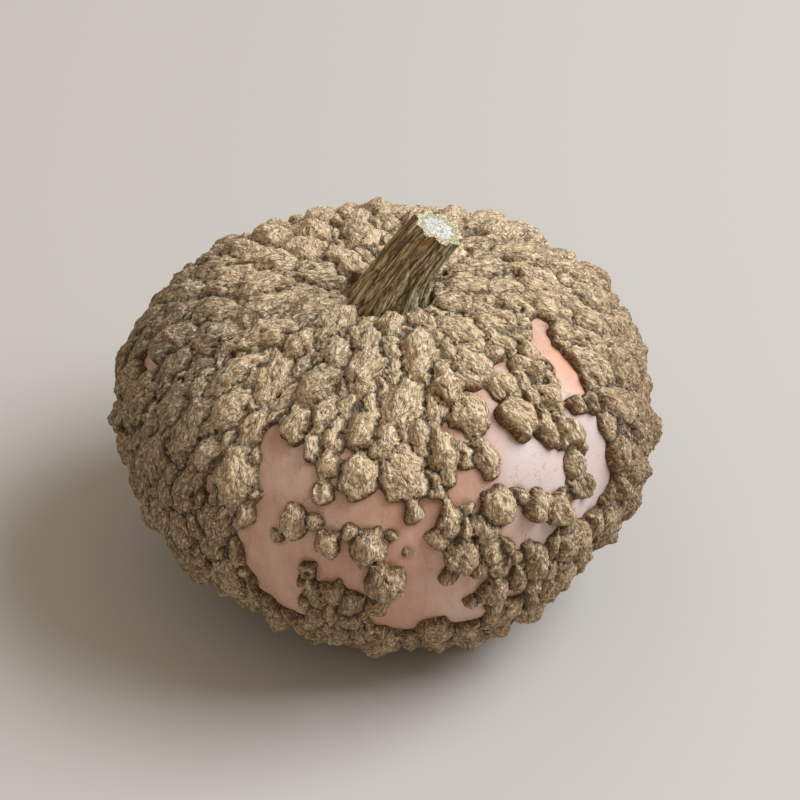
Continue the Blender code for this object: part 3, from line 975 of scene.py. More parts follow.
@dataclass(frozen=True)
class StemFinish:
    """Dry, fissured stem bark, green in its grooves, with painted light on its right-front side and painted
    shade in its fissures, and a pale, pitted cut face.
    """

    bark: Colour = srgb(184, 158, 114)
    pale: Colour = srgb(222, 206, 172)
    # Dark bark colour: painted shade in the fissures and grooves, and the real pores of the cut face.
    dark: Colour = srgb(62, 48, 28)
    green: Colour = srgb(62, 80, 38)
    cut: Colour = srgb(226, 222, 212)
    cut_green: Colour = srgb(184, 182, 146)
    notch: Colour = srgb(172, 118, 48)
    broad_size: float = 3.5
    line_size: float = 1.5
    speck_size: float = 0.9 * MM
    pore_size: float = 2.1 * MM
    # Painted light: the bark turns paler on the side that faces the key light.
    painted_light_way: tuple[float, float, float] = (0.85, -0.5, 0.0)
    painted_light_reach: tuple[float, float] = (9.0, 15.0)
    roughness: float = 0.85
    bump: float = 0.8 * MM

    def material(self) -> bpy.types.Material:
        """Builds the node material.

        Returns:
            The material.
        """
        material, graph, shader = plain_material("stem_bark", 0.0)
        grain = graph.carried("grain_mm", "Vector")
        groove, inward = graph.carried("groove"), graph.carried("inward")
        place = graph.add("ShaderNodeTexCoord", out="Object")
        broad = graph.noise(grain, self.broad_size, 2, 0.5, 2.0)
        speck = graph.noise(place, self.speck_size, 2, 0.6, 3.0)
        lines = graph.ridges(grain, self.line_size, 0.065, 1.0, 0.5)
        # Painted light on the right-front side, and painted shade in the fissures through the groove term.
        painted_light = graph.vectors("DOT_PRODUCT", grain, self.painted_light_way, out="Value")
        light = speck * 0.5 + broad * 0.7 - groove * 0.4 + painted_light.ease(*self.painted_light_reach) * 0.22
        colour = graph.blend(self.bark, self.pale, light.ease(0.46, 0.7))
        lush = (graph.carried("green") + (broad - 0.5) * 0.7).ease(0.3, 0.7) * (groove * 0.4 + 0.45)
        colour = graph.blend(colour, self.green, lush)
        # Painted shade: darker in the fissures and along the bump's fine grooves.
        colour = graph.blend(colour, self.dark, (groove.ease(0.25, 0.9) * 0.8).at_least(lines * 0.65))
        pith = graph.blend(self.cut, self.cut_green, (speck * 0.4 + inward.ease(0.62, 0.3)).ease(0.7, 1.15))
        pores = graph.cells(place, self.pore_size, seed=5.0).ease(0.3, 0.12)
        pith = graph.blend(pith, self.dark, pores * 0.55)
        colour = graph.blend(colour, pith, (inward + (speck - 0.5) * 0.2).ease(0.2, 0.27))
        colour = graph.blend(colour, self.notch, graph.carried("notch").ease(0.4, 0.8) * 0.85)
        graph.feed(shader, "Base Color", colour)
        shader.inputs["Roughness"].default_value = self.roughness
        graph.bump(shader, speck * 0.4 - lines * 0.6, self.bump, 0.8)
        return material


@dataclass
class Rind:
    """The bare skin of the fruit, one closed form."""

    form: RindForm
    warts: Warts
    finish: RindFinish
    fineness: int = 7

    def build(self) -> bpy.types.Object:
        """Makes the rind and dresses it.

        Returns:
            The finished piece.
        """
        ways, faces = even_sphere(self.fineness)
        points = self.form.point(ways)
        foot = self.warts.bare_distance(points)
        points = self.form.flattened(points, self.form.seat_radius, self.form.seat_height)
        points = self.form.flattened(points, self.form.rest_radius(), -self.form.rest_depth)
        points[:, 2] = np.maximum(points[:, 2], -self.form.rest_depth)
        mesh = fast_mesh("rind", self.form.in_frame(points), faces)
        give(mesh, "foot_mm", foot / MM)
        mesh.shade_smooth()
        mesh.materials.append(self.finish.material())
        return new_object("rind", mesh)


@dataclass(frozen=True)
class Ground:
    """Which wart holds each point of the rind, and where on the wart the point lies.

    First and second are the distances from the outlines of the two nearest warts, below zero inside them.
    Endwise is how much nearer the point is to the wart's ends than to its sides. Middle is 0 in the wart's
    middle and 1 on its outline.
    """

    owner: Array
    first: Array
    second: Array
    endwise: Array
    middle: Array


@dataclass
class Relief:
    """How high the crust stands over every point of the rind, and which wart each point belongs to.

    The warts press against each other. Each holds the ground nearest to its own outline, rises from the
    crease between them over a round shoulder, and is parted again into knobs. Some are pitted in the middle.
    """

    form: RindForm
    warts: Warts
    fineness: int = 9
    seed: int = 23
    squareness: float = 2.3
    growth: float = 2.8 * MM
    growth_ease: float = 3 * MM
    cliff: float = 3.2 * MM
    shoulder: float = 0.75
    side_crease: float = 0.03
    end_crease: float = 0.5
    end_ease: float = 0.45
    end_edge: float = 1 * MM
    height_spread: float = 0.2
    crown: float = 0.35
    plate_crease: float = 0.5
    plates_start: float = -75 * MM
    plates_end: float = -125 * MM
    pitted: tuple[int, ...] = (0, 4)
    set_pit_depth: float = 0.75
    pit_share: float = 0.14
    pit_depth: float = 0.5
    pit_width: float = 0.42
    warps: tuple[tuple[float, float], ...] = ((13 * MM, 1.6 * MM), (6 * MM, 0.6 * MM))
    waves: int = 7
    wave_spread: tuple[float, float] = (0.7, 1.4)
    search_stretch: float = 1.25
    search_growths: float = 3
    knob_spacing: float = 4.4 * MM
    most_knobs: int = 7
    knob_turn: float = 2.4
    knob_stray: float = 1.575
    knob_reach: float = 0.82
    knob_shoulder: float = 2.2 * MM
    knob_depth: float = 0.12
    knob_spread: float = 0.12
    ways: Array = field(init=False)
    faces: Array = field(init=False)
    owner: Array = field(init=False)
    height: Array = field(init=False)
    edge: Array = field(init=False)

    def __post_init__(self) -> None:
        """Works out the relief, with its points in order of their height."""
        ways, faces = even_sphere(self.fineness)
        order = np.argsort(ways[:, 2])
        place = np.empty_like(order)
        place[order] = np.arange(len(order))
        self.ways, self.faces = ways[order], place[faces]
        random = np.random.default_rng(self.seed)
        points = self.form.point(self.ways)
        bent = self.warped(points, random)
        self.raise_warts(points, bent, self.claimed(bent), random)

    def warped(self, points: Array, random: np.random.Generator) -> Array:
        """Moves points a little by slow waves, which bend every outline.

        Args:
            points: The points.
            random: The source of the waves.

        Returns:
            The moved points.
        """
        moved = points.copy()
        for length, depth in self.warps:
            for _ in range(self.waves):
                turns = unit(random.normal(size=3)) * 2 * math.pi
                wave = turns / (length * random.uniform(*self.wave_spread))
                push = unit(random.normal(size=3)) * depth / math.sqrt(self.waves / 2)
                moved += np.sin(points @ wave + random.uniform(0, 2 * math.pi))[:, None] * push
        return moved

    def claimed(self, bent: Array) -> Ground:
        """Gives each point to the wart whose outline is nearest.

        Args:
            bent: The points of the rind, moved by the waves.

        Returns:
            What is known of each point.
        """
        count, warts = len(bent), self.warts
        owner = np.full(count, -1)
        first, second = np.full(count, FAR_AWAY), np.full(count, FAR_AWAY)
        endwise, middle = np.zeros(count), np.zeros(count)
        for i, (centre, (half_a, half_b)) in enumerate(zip(warts.points, warts.halves)):
            reach = self.search_stretch * half_a + self.search_growths * self.growth
            levels = np.array([centre[2] - reach, centre[2] + reach]) / np.linalg.norm(centre)
            band = slice(*np.searchsorted(self.ways[:, 2], levels))
            gap = bent[band] - centre
            near = np.flatnonzero(np.abs(gap).max(axis=1) < reach)
            gap = gap[near]
            near += band.start
            length_share = np.abs(gap @ warts.along[i]) / half_a
            width_share = np.abs(gap @ warts.across[i]) / half_b
            span = (length_share**self.squareness + width_share**self.squareness) ** (1 / self.squareness)
            inside = (span - 1) * half_b
            wins = inside < first[near]
            second[near] = np.where(wins, first[near], np.minimum(second[near], inside))
            first[near] = np.where(wins, inside, first[near])
            owner[near[wins]] = i
            endwise[near[wins]] = (length_share - width_share)[wins]
            middle[near[wins]] = span[wins]
        return Ground(owner, first, second, endwise, middle)

    def raise_warts(self, points: Array, bent: Array, ground: Ground, random: np.random.Generator) -> None:
        """Fills in the owner, the height and the distance from the nearest crease for every point.

        Args:
            points: The points of the rind.
            bent: The same points, moved by the waves.
            ground: Which wart holds each point.
            random: The source of every draw.
        """
        warts = self.warts
        set_count = len(warts.set_warts)
        margin = np.where(points[:, 2] > 0, warts.stem_margin, warts.rest_margin)
        outside = np.minimum(-warts.strip_distance(points), np.hypot(points[:, 0], points[:, 1]) - margin)
        grown = self.growth * np.clip(outside / self.growth_ease, 0, 1) * (ground.owner >= set_count)
        free = grown - ground.first
        owner = np.where(free > 0, ground.owner, -1)
        crease = (ground.second - ground.first) / 2
        lift = random.uniform(1 - self.height_spread, 1 + self.height_spread, len(warts.heights))
        tall, broad = (warts.heights * lift)[owner], warts.halves[owner, 1]
        ends = np.clip(ground.endwise / self.end_ease, 0, 1)
        low = self.side_crease + (self.end_crease - self.side_crease) * ends * ends * (3 - 2 * ends)
        plates = np.clip((points[:, 0] - self.plates_start) / (self.plates_end - self.plates_start), 0, 1)
        low = low + (self.plate_crease - low * self.plate_crease) * plates
        body = low + (1 - low) * rounded(crease / (self.shoulder * broad))
        crown = 1 + self.crown * (np.clip(-ground.first / broad, 0, 1) - 0.5)
        pits = np.where(random.uniform(size=len(lift)) < self.pit_share, self.pit_depth, 0.0)
        pits[:set_count] = 0
        pits[list(self.pitted)] = self.set_pit_depth
        crown = crown - pits[owner] * np.exp(-((ground.middle / self.pit_width) ** 2))
        height = tall * body * crown * rounded(free / self.cliff)
        for i, own_height in enumerate(warts.heights):
            mine = np.flatnonzero(owner == i)
            height[mine] += own_height * self.knobs(i, bent[mine], random)
        self.owner = owner
        self.height = height
        self.edge = crease + self.end_edge * ends

    def knobs(self, i: int, bent: Array, random: np.random.Generator) -> Array:
        """Parts a wart into knobs, which are seated on a spiral.

        Args:
            i: The wart's number.
            bent: Its points, moved by the waves.
            random: The source of every draw.

        Returns:
            The change of height at each point, as a share of the wart's height.
        """
        half_a, half_b = self.warts.halves[i]
        count = int(np.clip(round(half_a * half_b / self.knob_spacing**2), 1, self.most_knobs))
        turn = self.knob_turn * np.arange(count) + random.uniform(0, self.knob_stray, count)
        out = self.knob_reach * np.sqrt((np.arange(count) + 0.5) / count)
        lift = random.uniform(-1, 1, count) * self.knob_spread
        if count < 2 or not len(bent):
            return np.zeros(len(bent))
        gap = bent - self.warts.points[i]
        flat = np.stack([gap @ self.warts.along[i], gap @ self.warts.across[i]], axis=1)
        seats = np.stack([out * np.cos(turn) * half_a, out * np.sin(turn) * half_b], axis=1)
        far = np.linalg.norm(flat[:, None] - seats[None], axis=2)
        rank = np.argsort(far, axis=1)
        nearest = np.take_along_axis(far, rank[:, :2], axis=1)
        full = rounded((nearest[:, 1] - nearest[:, 0]) / 2 / self.knob_shoulder)
        return lift[rank[:, 0]] * full - self.knob_depth * (1 - full)


class Region(Enum):
    """The parts of the crust, each one piece."""

    CROWN = "crust_crown"
    FRONT = "crust_front"
    RIGHT = "crust_right"
    BACK = "crust_back"
    LEFT = "crust_left"
    UNDERSIDE = "crust_underside"


@dataclass(frozen=True)
class WartPlace:
    """Where a point lies on its wart, as fields of the carving tree.

    Grain and fibre are places that the finish looks up its noise at, the one drawn out along the wart, the
    other up its sides. Both differ from one wart to the next.
    """

    up: Signal
    pick: Signal
    rise: Signal
    edge: Signal
    grain: Signal
    fibre: Signal


@dataclass
class Crust:
    """The corky warts: a closed body for each region, melted to an even mesh, then carved."""

    form: RindForm
    warts: Warts
    finish: CorkFinish
    crown_latitude: float = 40
    underside_latitude: float = -28
    seed: int = 23
    fine: float = 0.95 * MM
    medium: float = 1.15 * MM
    coarse: float = 1.4 * MM
    knob_size: float = 5.5 * MM
    knob_rise: float = 0.5 * MM
    crack_size: float = 14 * MM
    crack_depth: float = 0.7 * MM
    wrinkle_depth: float = 0.75 * MM
    fibre_depth: float = 0.5 * MM
    grain_stretch: float = 0.38
    pick_shift: float = 61.0
    fibre_round: float = 7.0
    fibre_out: float = 1.6
    fibre_up: float = 0.22
    sink: float = 1.5 * MM
    root_depth: float = 2.5 * MM
    base_depth: float = 4.5 * MM
    lap_rings: int = 4
    lap_sink: float = 1.2 * MM
    smoothing: int = 2
    hollow_rings: int = 7
    thinning: float = 0.93
    least_kept: float = 0.05

    def region(self, way: Array) -> Region:
        """Chooses the region of a wart.

        Args:
            way: The unit vector towards it from the centre of the fruit.

        Returns:
            The region that it belongs to.
        """
        latitude = math.degrees(math.asin(way[2]))
        longitude = math.degrees(math.atan2(way[1], way[0]))
        if latitude > self.crown_latitude:
            return Region.CROWN
        if latitude < self.underside_latitude:
            return Region.UNDERSIDE
        sides = (Region.LEFT, Region.FRONT, Region.RIGHT, Region.BACK, Region.LEFT)
        return sides[int((longitude + 2.5 * QUARTER_TURN) // QUARTER_TURN)]

    def voxel(self, region: Region) -> float:
        """Chooses how finely a region is melted: finest where the front shows it.

        Args:
            region: The region.

        Returns:
            The size of the melt's cells.
        """
        if region in (Region.CROWN, Region.FRONT, Region.RIGHT):
            return self.fine
        return self.medium if region is Region.LEFT else self.coarse

    def solid(self, relief: Relief, members: Array, name: str) -> tuple[bpy.types.Mesh, bpy.types.Object]:
        """Makes the closed body of some warts, and its outer points, which know their wart.

        Args:
            relief: The height over the whole rind.
            members: Whether each point of the relief belongs to one of these warts.
            name: The piece's name.

        Returns:
            The body and an object with the points.
        """
        beyond = members.copy()
        for _ in range(self.lap_rings):
            beyond[relief.faces[beyond[relief.faces].any(axis=1)]] = True
        faces = relief.faces[beyond[relief.faces].any(axis=1)]
        used = np.unique(faces)
        renumber = np.zeros(len(relief.ways), np.int64)
        renumber[used] = np.arange(len(used))
        faces = renumber[faces]
        ways = relief.ways[used]
        rind = self.form.point(ways)
        normal = self.form.normal(ways)
        lapped = np.where(beyond & (relief.owner >= 0), relief.height - self.lap_sink, -self.root_depth)
        rise = np.where(members, relief.height, lapped)[used]
        outer = self.form.in_frame(rind + normal * rise[:, None])
        inner = self.form.in_frame(rind - normal * self.base_depth)
        edges = np.concatenate([faces[:, [0, 1]], faces[:, [1, 2]], faces[:, [2, 0]]])
        code = np.sort(edges, axis=1) @ np.array([len(used), 1])
        _, index, times = np.unique(code, return_index=True, return_counts=True)
        rim = edges[index[times == 1]]
        count = len(used)
        walls = np.concatenate([
            np.stack([rim[:, 1], rim[:, 0], rim[:, 0] + count], axis=1),
            np.stack([rim[:, 1], rim[:, 0] + count, rim[:, 1] + count], axis=1),
        ])
        shell = np.concatenate([faces, faces[:, ::-1] + count, walls])
        body = fast_mesh(name, np.concatenate([outer, inner]), shell)
        cork = members[used]
        skin = fast_mesh(name + "_points", outer[cork], np.zeros((0, 3), np.int64))
        give(skin, "wart", relief.owner[used][cork].astype(float))
        give(skin, "edge", relief.edge[used][cork] / MM)
        return body, new_object(name + "_points", skin)

    def cork_tree(
        self, roots: bpy.types.Object, skin: bpy.types.Object, material: bpy.types.Material
    ) -> ShapeTree:
        """Builds the tree that carves a melted body and keeps what the finish needs to know of each point.

        Args:
            roots: The object with a point for each wart.
            skin: The object with the body's outer points.
            material: The cork.

        Returns:
            The tree.
        """
        inputs = {
            "Warts": (TreeInput.OBJECT, roots),
            "Skin": (TreeInput.OBJECT, skin),
            "Knob Size": (TreeInput.LENGTH, self.knob_size),
            "Knob Rise": (TreeInput.LENGTH, self.knob_rise),
            "Crack Size": (TreeInput.LENGTH, self.crack_size),
            "Crack Depth": (TreeInput.LENGTH, self.crack_depth),
            "Wrinkle Depth": (TreeInput.LENGTH, self.wrinkle_depth),
            "Fibre Depth": (TreeInput.LENGTH, self.fibre_depth),
            "Finish": (TreeInput.FINISH, material),
        }
        tree = ShapeTree("Cork carving", inputs)
        place = tree.add("GeometryNodeInputPosition")
        normal = tree.add("GeometryNodeInputNormal")
        here = self.wart_place(tree, place)

        blur = {"Value": place, "Iterations": self.smoothing}
        smooth = tree.add("GeometryNodeBlurAttribute", {"data_type": "FLOAT_VECTOR"}, blur)
        eased = {"Geometry": tree.given("Shape"), "Position": smooth}
        shape = tree.add("GeometryNodeSetPosition", inputs=eased)
        shape = tree.keep(shape, "grain_mm", here.grain, "FLOAT_VECTOR")
        shape = tree.keep(shape, "fibre_mm", here.fibre, "FLOAT_VECTOR")
        shape = tree.keep(shape, "rise", here.rise)
        shape = tree.keep(shape, "pick", here.pick)
        shape = tree.keep(shape, "edge", here.edge)
        shape = tree.keep(shape, "top", tree.vectors("DOT_PRODUCT", normal, here.up, out="Value"))

        push = tree.vectors("SCALE", normal, self.lift(tree, place, here))
        shape = tree.add("GeometryNodeSetPosition", inputs={"Geometry": shape, "Offset": push})
        above_floor = tree.vectors("MAXIMUM", place, (-FAR_AWAY, -FAR_AWAY, 0.0))
        shape = tree.add("GeometryNodeSetPosition", inputs={"Geometry": shape, "Position": above_floor})

        spread = {"Value": place, "Iterations": self.hollow_rings}
        around = tree.add("GeometryNodeBlurAttribute", {"data_type": "FLOAT_VECTOR"}, spread)
        inward = tree.vectors("SUBTRACT", around, place)
        hollow = tree.vectors("DOT_PRODUCT", inward, normal, out="Value") / MM
        tree.finish(tree.keep(shape, "hollow_mm", hollow))
        return tree

    def wart_place(self, tree: ShapeTree, place: Signal) -> WartPlace:
        """Adds the fields that say where a point lies on its wart.

        Args:
            tree: The carving tree.
            place: The points' positions.

        Returns:
            The fields.
        """
        warts = tree.add("GeometryNodeObjectInfo", inputs={"Object": tree.given("Warts")}, out="Geometry")
        skin = tree.add("GeometryNodeObjectInfo", inputs={"Object": tree.given("Skin")}, out="Geometry")
        inputs = {"Geometry": skin, "Sample Position": place}
        at = tree.add("GeometryNodeSampleNearest", {"domain": "POINT"}, inputs)

        def sampled(source: Signal, value: Signal, index: Signal, kind: str = "FLOAT") -> Signal:
            """A value of one point of a source."""
            inputs = {"Geometry": source, "Value": value, "Index": index}
            return tree.add("GeometryNodeSampleIndex", {"data_type": kind, "domain": "POINT"}, inputs)

        near = sampled(skin, tree.named("wart"), at)
        centre = sampled(warts, place, near, "FLOAT_VECTOR")
        up, along, size = (
            sampled(warts, tree.named(name, "FLOAT_VECTOR"), near, "FLOAT_VECTOR")
            for name in ("up", "along", "size")
        )
        pick = sampled(warts, tree.named("pick"), near)
        gap = tree.vectors("SUBTRACT", place, centre)
        lengthwise, sidewise, upwards = (
            tree.vectors("DOT_PRODUCT", gap, way, out="Value")
            for way in (along, tree.vectors("CROSS_PRODUCT", up, along), up)
        )
        half_a = tree.add("ShaderNodeSeparateXYZ", inputs={0: size})
        half_b, tall = half_a.twin("Y"), half_a.twin("Z")
        flat = tree.add("ShaderNodeCombineXYZ", inputs={0: lengthwise / half_a, 1: sidewise / half_b})
        span = tree.vectors("LENGTH", flat, out="Value")
        turned = tree.vectors("NORMALIZE", flat)
        round_it = tree.vectors("SCALE", turned, span.ease(0.0, 0.5) * self.fibre_round)
        own_share = pick * self.pick_shift
        run = span * self.fibre_out - upwards / MM * self.fibre_up
        run = tree.add("ShaderNodeCombineXYZ", inputs={0: own_share, 2: run})
        drawn_out = lengthwise / MM * self.grain_stretch + own_share
        grain = tree.add("ShaderNodeCombineXYZ", inputs={0: drawn_out, 1: sidewise / MM, 2: upwards / MM})
        fibre = tree.vectors("ADD", round_it, run)
        edge = sampled(skin, tree.named("edge"), at)
        return WartPlace(up, pick, upwards / tall, edge, grain, fibre)

    def lift(self, tree: ShapeTree, place: Signal, here: WartPlace) -> Signal:
        """Adds the knobs, cracks, wrinkles and fibres.

        Args:
            tree: The carving tree.
            place: The points' positions.
            here: Where each point lies on its wart.

        Returns:
            How far each point moves outwards.
        """
        knob_at = tree.vectors("SCALE", place, 1.0 / tree.given("Knob Size"))
        wander = tree.vectors("SCALE", tree.noise(knob_at, 1.3, 2, 0.5, 2.0, "Color"), 0.9)
        far = tree.cells(tree.vectors("ADD", knob_at, wander), 1.0, seed=3.0) * 1.2
        knobs = (1.0 - far * far).at_least(0.0) ** 0.5 - 0.7
        top = tree.named("top").ease(0.25, 0.7)
        crack_at = tree.vectors("SCALE", place, 1.0 / tree.given("Crack Size"))
        cracks = tree.ridges(crack_at, 1.0, 0.035, 6.0, 0.6)
        bumps = (0.5 - tree.noise(here.grain, 3.0, 1, 0.5, 9.0, swirl=0.6)) * 1.6
        wrinkles = tree.ridges(here.grain, 4.4, 0.09, 10.0, 0.6) + bumps
        strands = tree.ridges(here.fibre, 2.0, 0.09, 8.0)
        lift = knobs * tree.given("Knob Rise") - cracks * tree.given("Crack Depth")
        lift = lift - wrinkles * top * tree.given("Wrinkle Depth")
        lift = lift - strands * (1.0 - top) * tree.given("Fibre Depth")
        return lift * here.rise.ease(-0.25, 0.25)

    def roots(self) -> bpy.types.Object:
        """Makes a point for each wart, which the carving reads.

        Returns:
            The object with the points.
        """
        normals = self.form.normal(self.warts.ways)
        along = self.warts.along - normals * np.sum(self.warts.along * normals, axis=1, keepdims=True)
        mesh = mesh_of("wart_roots", self.form.in_frame(self.warts.points))
        give(mesh, "up", normals)
        give(mesh, "along", unit(along))
        give(mesh, "size", np.column_stack([self.warts.halves, self.warts.heights]))
        give(mesh, "pick", np.random.default_rng(self.seed + 1).uniform(size=len(normals)))
        return new_object("wart_roots", mesh)

    def build(self) -> list[bpy.types.Object]:
        """Makes every region.

        Returns:
            The finished pieces.
        """
        material = self.finish.material()
        roots = self.roots()
        relief = Relief(self.form, self.warts)
        regions = np.array([self.region(way).value for way in self.warts.ways] + [""])
        owners = regions[relief.owner]
        pieces = []
        for region in Region:
            body, skin = self.solid(relief, owners == region.value, region.value)
            piece = new_object(region.value, body)
            melt = piece.modifiers.new("Melt", "REMESH")
            melt.mode = "VOXEL"
            melt.voxel_size = self.voxel(region)
            self.cork_tree(roots, skin, material).put_on(piece)
            settle(piece)
            self.thin_roots(piece)
            piece.data.shade_smooth()
            pieces.append(piece)
            bpy.data.objects.remove(skin)
        bpy.data.objects.remove(roots)
        return pieces

    def thin_roots(self, piece: bpy.types.Object) -> None:
        """Merges most of the faces that are sunk in the rind, where nothing sees them.

        Args:
            piece: The piece.
        """
        mesh = piece.data
        points = np.zeros(len(mesh.vertices) * 3)
        mesh.vertices.foreach_get("co", points)
        points = points.reshape(-1, 3) - np.array([0, 0, self.form.rest_depth])
        depth = self.form.radius(unit(points)) - np.linalg.norm(points, axis=1)
        sunk = depth > self.sink
        group = piece.vertex_groups.new(name="sunk")
        group.add(np.flatnonzero(sunk).tolist(), 1.0, "REPLACE")
        thin = piece.modifiers.new("Thin", "DECIMATE")
        thin.vertex_group = group.name
        thin.ratio = float(max(self.least_kept, 1 - sunk.mean() * self.thinning))
        settle(piece)
        piece.vertex_groups.clear()


@dataclass
class Stem:
    """The cut stem: a corky, ribbed stalk that leans out of a flared foot."""

    form: RindForm
    finish: StemFinish
    gap: float = 0.3 * MM
    foot_radius: float = 23.5 * MM
    waist_radius: float = 17.5 * MM
    end_radius: float = 14 * MM
    rise: float = 50 * MM
    lean: float = 28 * MM
    flare_height: float = 13 * MM
    ribs: int = 9
    rib_depth: float = 1.3 * MM
    cut_tilt: float = 26
    dish: float = 1.2 * MM
    cut_grain: float = 0.25 * MM
    pith_core: float = 0.1
    toes: int = 5
    toe_depth: float = 1.6 * MM
    sides: int = 220
    rings: int = 100
    ring_growth: float = 1.1
    cut_rings: int = 26
    cut_ring_growth: float = 0.9
    fissure_size: float = 3.0
    fissure_depth: float = 1.5 * MM
    grain_radius: float = 15
    grain_length: float = 6
    green_bands: tuple[float, ...] = (284, 308, 330)
    band_width: float = 0.13
    notch_turn: float = 252
    notch_width: float = 0.11
    notch_depth: float = 1.6 * MM
    notch_start: float = 0.86
    notch_ease: float = 0.1
    notch_in: float = 0.8
    seed: int = 5

    def radius(self, turn: Array, rise: Array) -> Array:
        """Works out the stem's radius.

        Args:
            turn: The turns round it, in radians.
            rise: The heights above its foot.

        Returns:
            The radius at each.
        """
        flare = np.exp(-((rise / self.flare_height) ** 1.5))
        taper = self.waist_radius + (self.end_radius - self.waist_radius) * rise / self.rise
        ribs = self.rib_depth * (1 + 0.8 * flare) * np.cos(self.ribs * turn + 0.5 * np.sin(2 * turn))
        toes = self.toe_depth * flare * np.cos(self.toes * turn + 0.8)
        return taper + (self.foot_radius - self.waist_radius) * flare + ribs * (1 - 0.5 * flare) + toes

    def place(self, out: Array, turn: Array, share: Array) -> Array:
        """Works out points of the leaning stem.

        Args:
            out: Their distances from its middle line.
            turn: Their turns round it, in radians.
            share: Their shares of its height.

        Returns:
            The points, seen from the middle of the foot.
        """
        shift = self.lean * (0.6 * share + 0.4 * share**2)
        tilt = np.radians(self.cut_tilt) * share
        level = out * np.cos(turn)
        x = shift + level * np.cos(tilt)
        z = self.rise * share - level * np.sin(tilt)
        return np.stack([x, out * np.sin(turn), z], axis=-1)

    def cut_face(self, rim: Array, turn: Array, inner: Array) -> Array:
        """Works out the dished, grainy cut.

        Args:
            rim: The stem's radius round its rim.
            turn: The turns of the rim's points, in radians.
            inner: The rings of the cut, as shares of the rim, from the outermost in.

        Returns:
            The points of each ring.
        """
        random = np.random.default_rng(self.seed)
        out = inner[:, None] * rim[None, :]
        cut = self.place(out, np.broadcast_to(turn, out.shape), np.ones(out.shape))
        tilt = math.radians(self.cut_tilt)
        grain = self.cut_grain * random.normal(size=out.shape) * (inner[:, None] > self.pith_core)
        bowl = self.dish * (1 - inner**3)[:, None] + grain
        return cut - bowl[..., None] * np.array([math.sin(tilt), 0, math.cos(tilt)])

    def faces(self, rows: int) -> list[list[int]]:
        """Works out the faces of the side, the cut and the foot.

        Args:
            rows: How many rings of points there are, before the middle of the cut and the middle of the foot.

        Returns:
            The corners of each face.
        """
        faces = ring_faces(rows, self.sides).tolist()
        last, mid, base = (rows - 1) * self.sides, rows * self.sides, rows * self.sides + 1
        for i in range(self.sides):
            j = (i + 1) % self.sides
            faces += [[last + i, last + j, mid], [j, i, base]]
        return faces

    def mark(
        self, mesh: bpy.types.Mesh, points: Array, turn: Array, share: Array, notch: Array, inner: Array
    ) -> None:
        """Gives the mesh what the finish needs to know of each point.

        Args:
            mesh: The stem's mesh.
            points: Its points, in the frame.
            turn: The turns of the side's points, in radians.
            share: Their shares of the height.
            notch: How deep each is in the notch, from 0 to 1.
            inner: The rings of the cut, as shares of the rim.
        """
        side, count = turn.size, len(points)
        cut = slice(side, side + len(inner) * self.sides)
        level = self.grain_radius * np.stack([np.cos(turn), np.sin(turn)], axis=-1)
        around = np.concatenate([level, self.grain_length * share[..., None]], axis=-1)
        give(mesh, "grain_mm", np.concatenate([around.reshape(-1, 3), points[side:] / MM]))
        green, inward, burnt = np.zeros(count), np.zeros(count), np.zeros(count)
        sway = 0.12 * np.sin(4 * share + 1)
        for band in self.green_bands:
            off = (turn + sway - math.radians(band) + math.pi) % (2 * math.pi) - math.pi
            green[:side] += np.exp(-((off / self.band_width) ** 2)).ravel()
        inward[cut] = np.repeat(1 - inner, self.sides)
        inward[cut.stop] = 1.0
        burnt[:side] = notch.ravel()
        burnt[cut] = (notch[-1] * (inner[:, None] > self.notch_in)).ravel()
        give(mesh, "green", green)
        give(mesh, "inward", inward)
        give(mesh, "notch", burnt)

    def build(self) -> bpy.types.Object:
        """Makes the stem and dresses it.

        Returns:
            The finished piece.
        """
        shares = np.linspace(0, 1, self.rings) ** self.ring_growth
        turns = np.linspace(0, 2 * math.pi, self.sides, endpoint=False)
        share, turn = np.meshgrid(shares, turns, indexing="ij")
        notch = np.exp(-(((turn - math.radians(self.notch_turn)) / self.notch_width) ** 2))
        notch = notch * rounded((share - self.notch_start) / self.notch_ease)
        radius = self.radius(turn, self.rise * share) - self.notch_depth * notch
        inner = np.linspace(1, 0, self.cut_rings + 1)[1:-1] ** self.cut_ring_growth
        side = self.place(radius, turn, share)
        cut = self.cut_face(radius[-1], turns, inner)
        middles = np.stack([cut[-1].mean(axis=0), side[0].mean(axis=0)])
        points = np.concatenate([side.reshape(-1, 3), cut.reshape(-1, 3), middles])
        points += np.array([0, 0, self.form.rest_depth + self.form.seat_height + self.gap])
        mesh = mesh_of("stem_bark", points, self.faces(self.rings + len(inner)))
        self.mark(mesh, points, turn, share, notch, inner)
        stem = new_object("stem_bark", mesh)
        self.bark_tree(self.finish.material()).put_on(stem)
        settle(stem)
        stem.data.shade_smooth()
        return stem

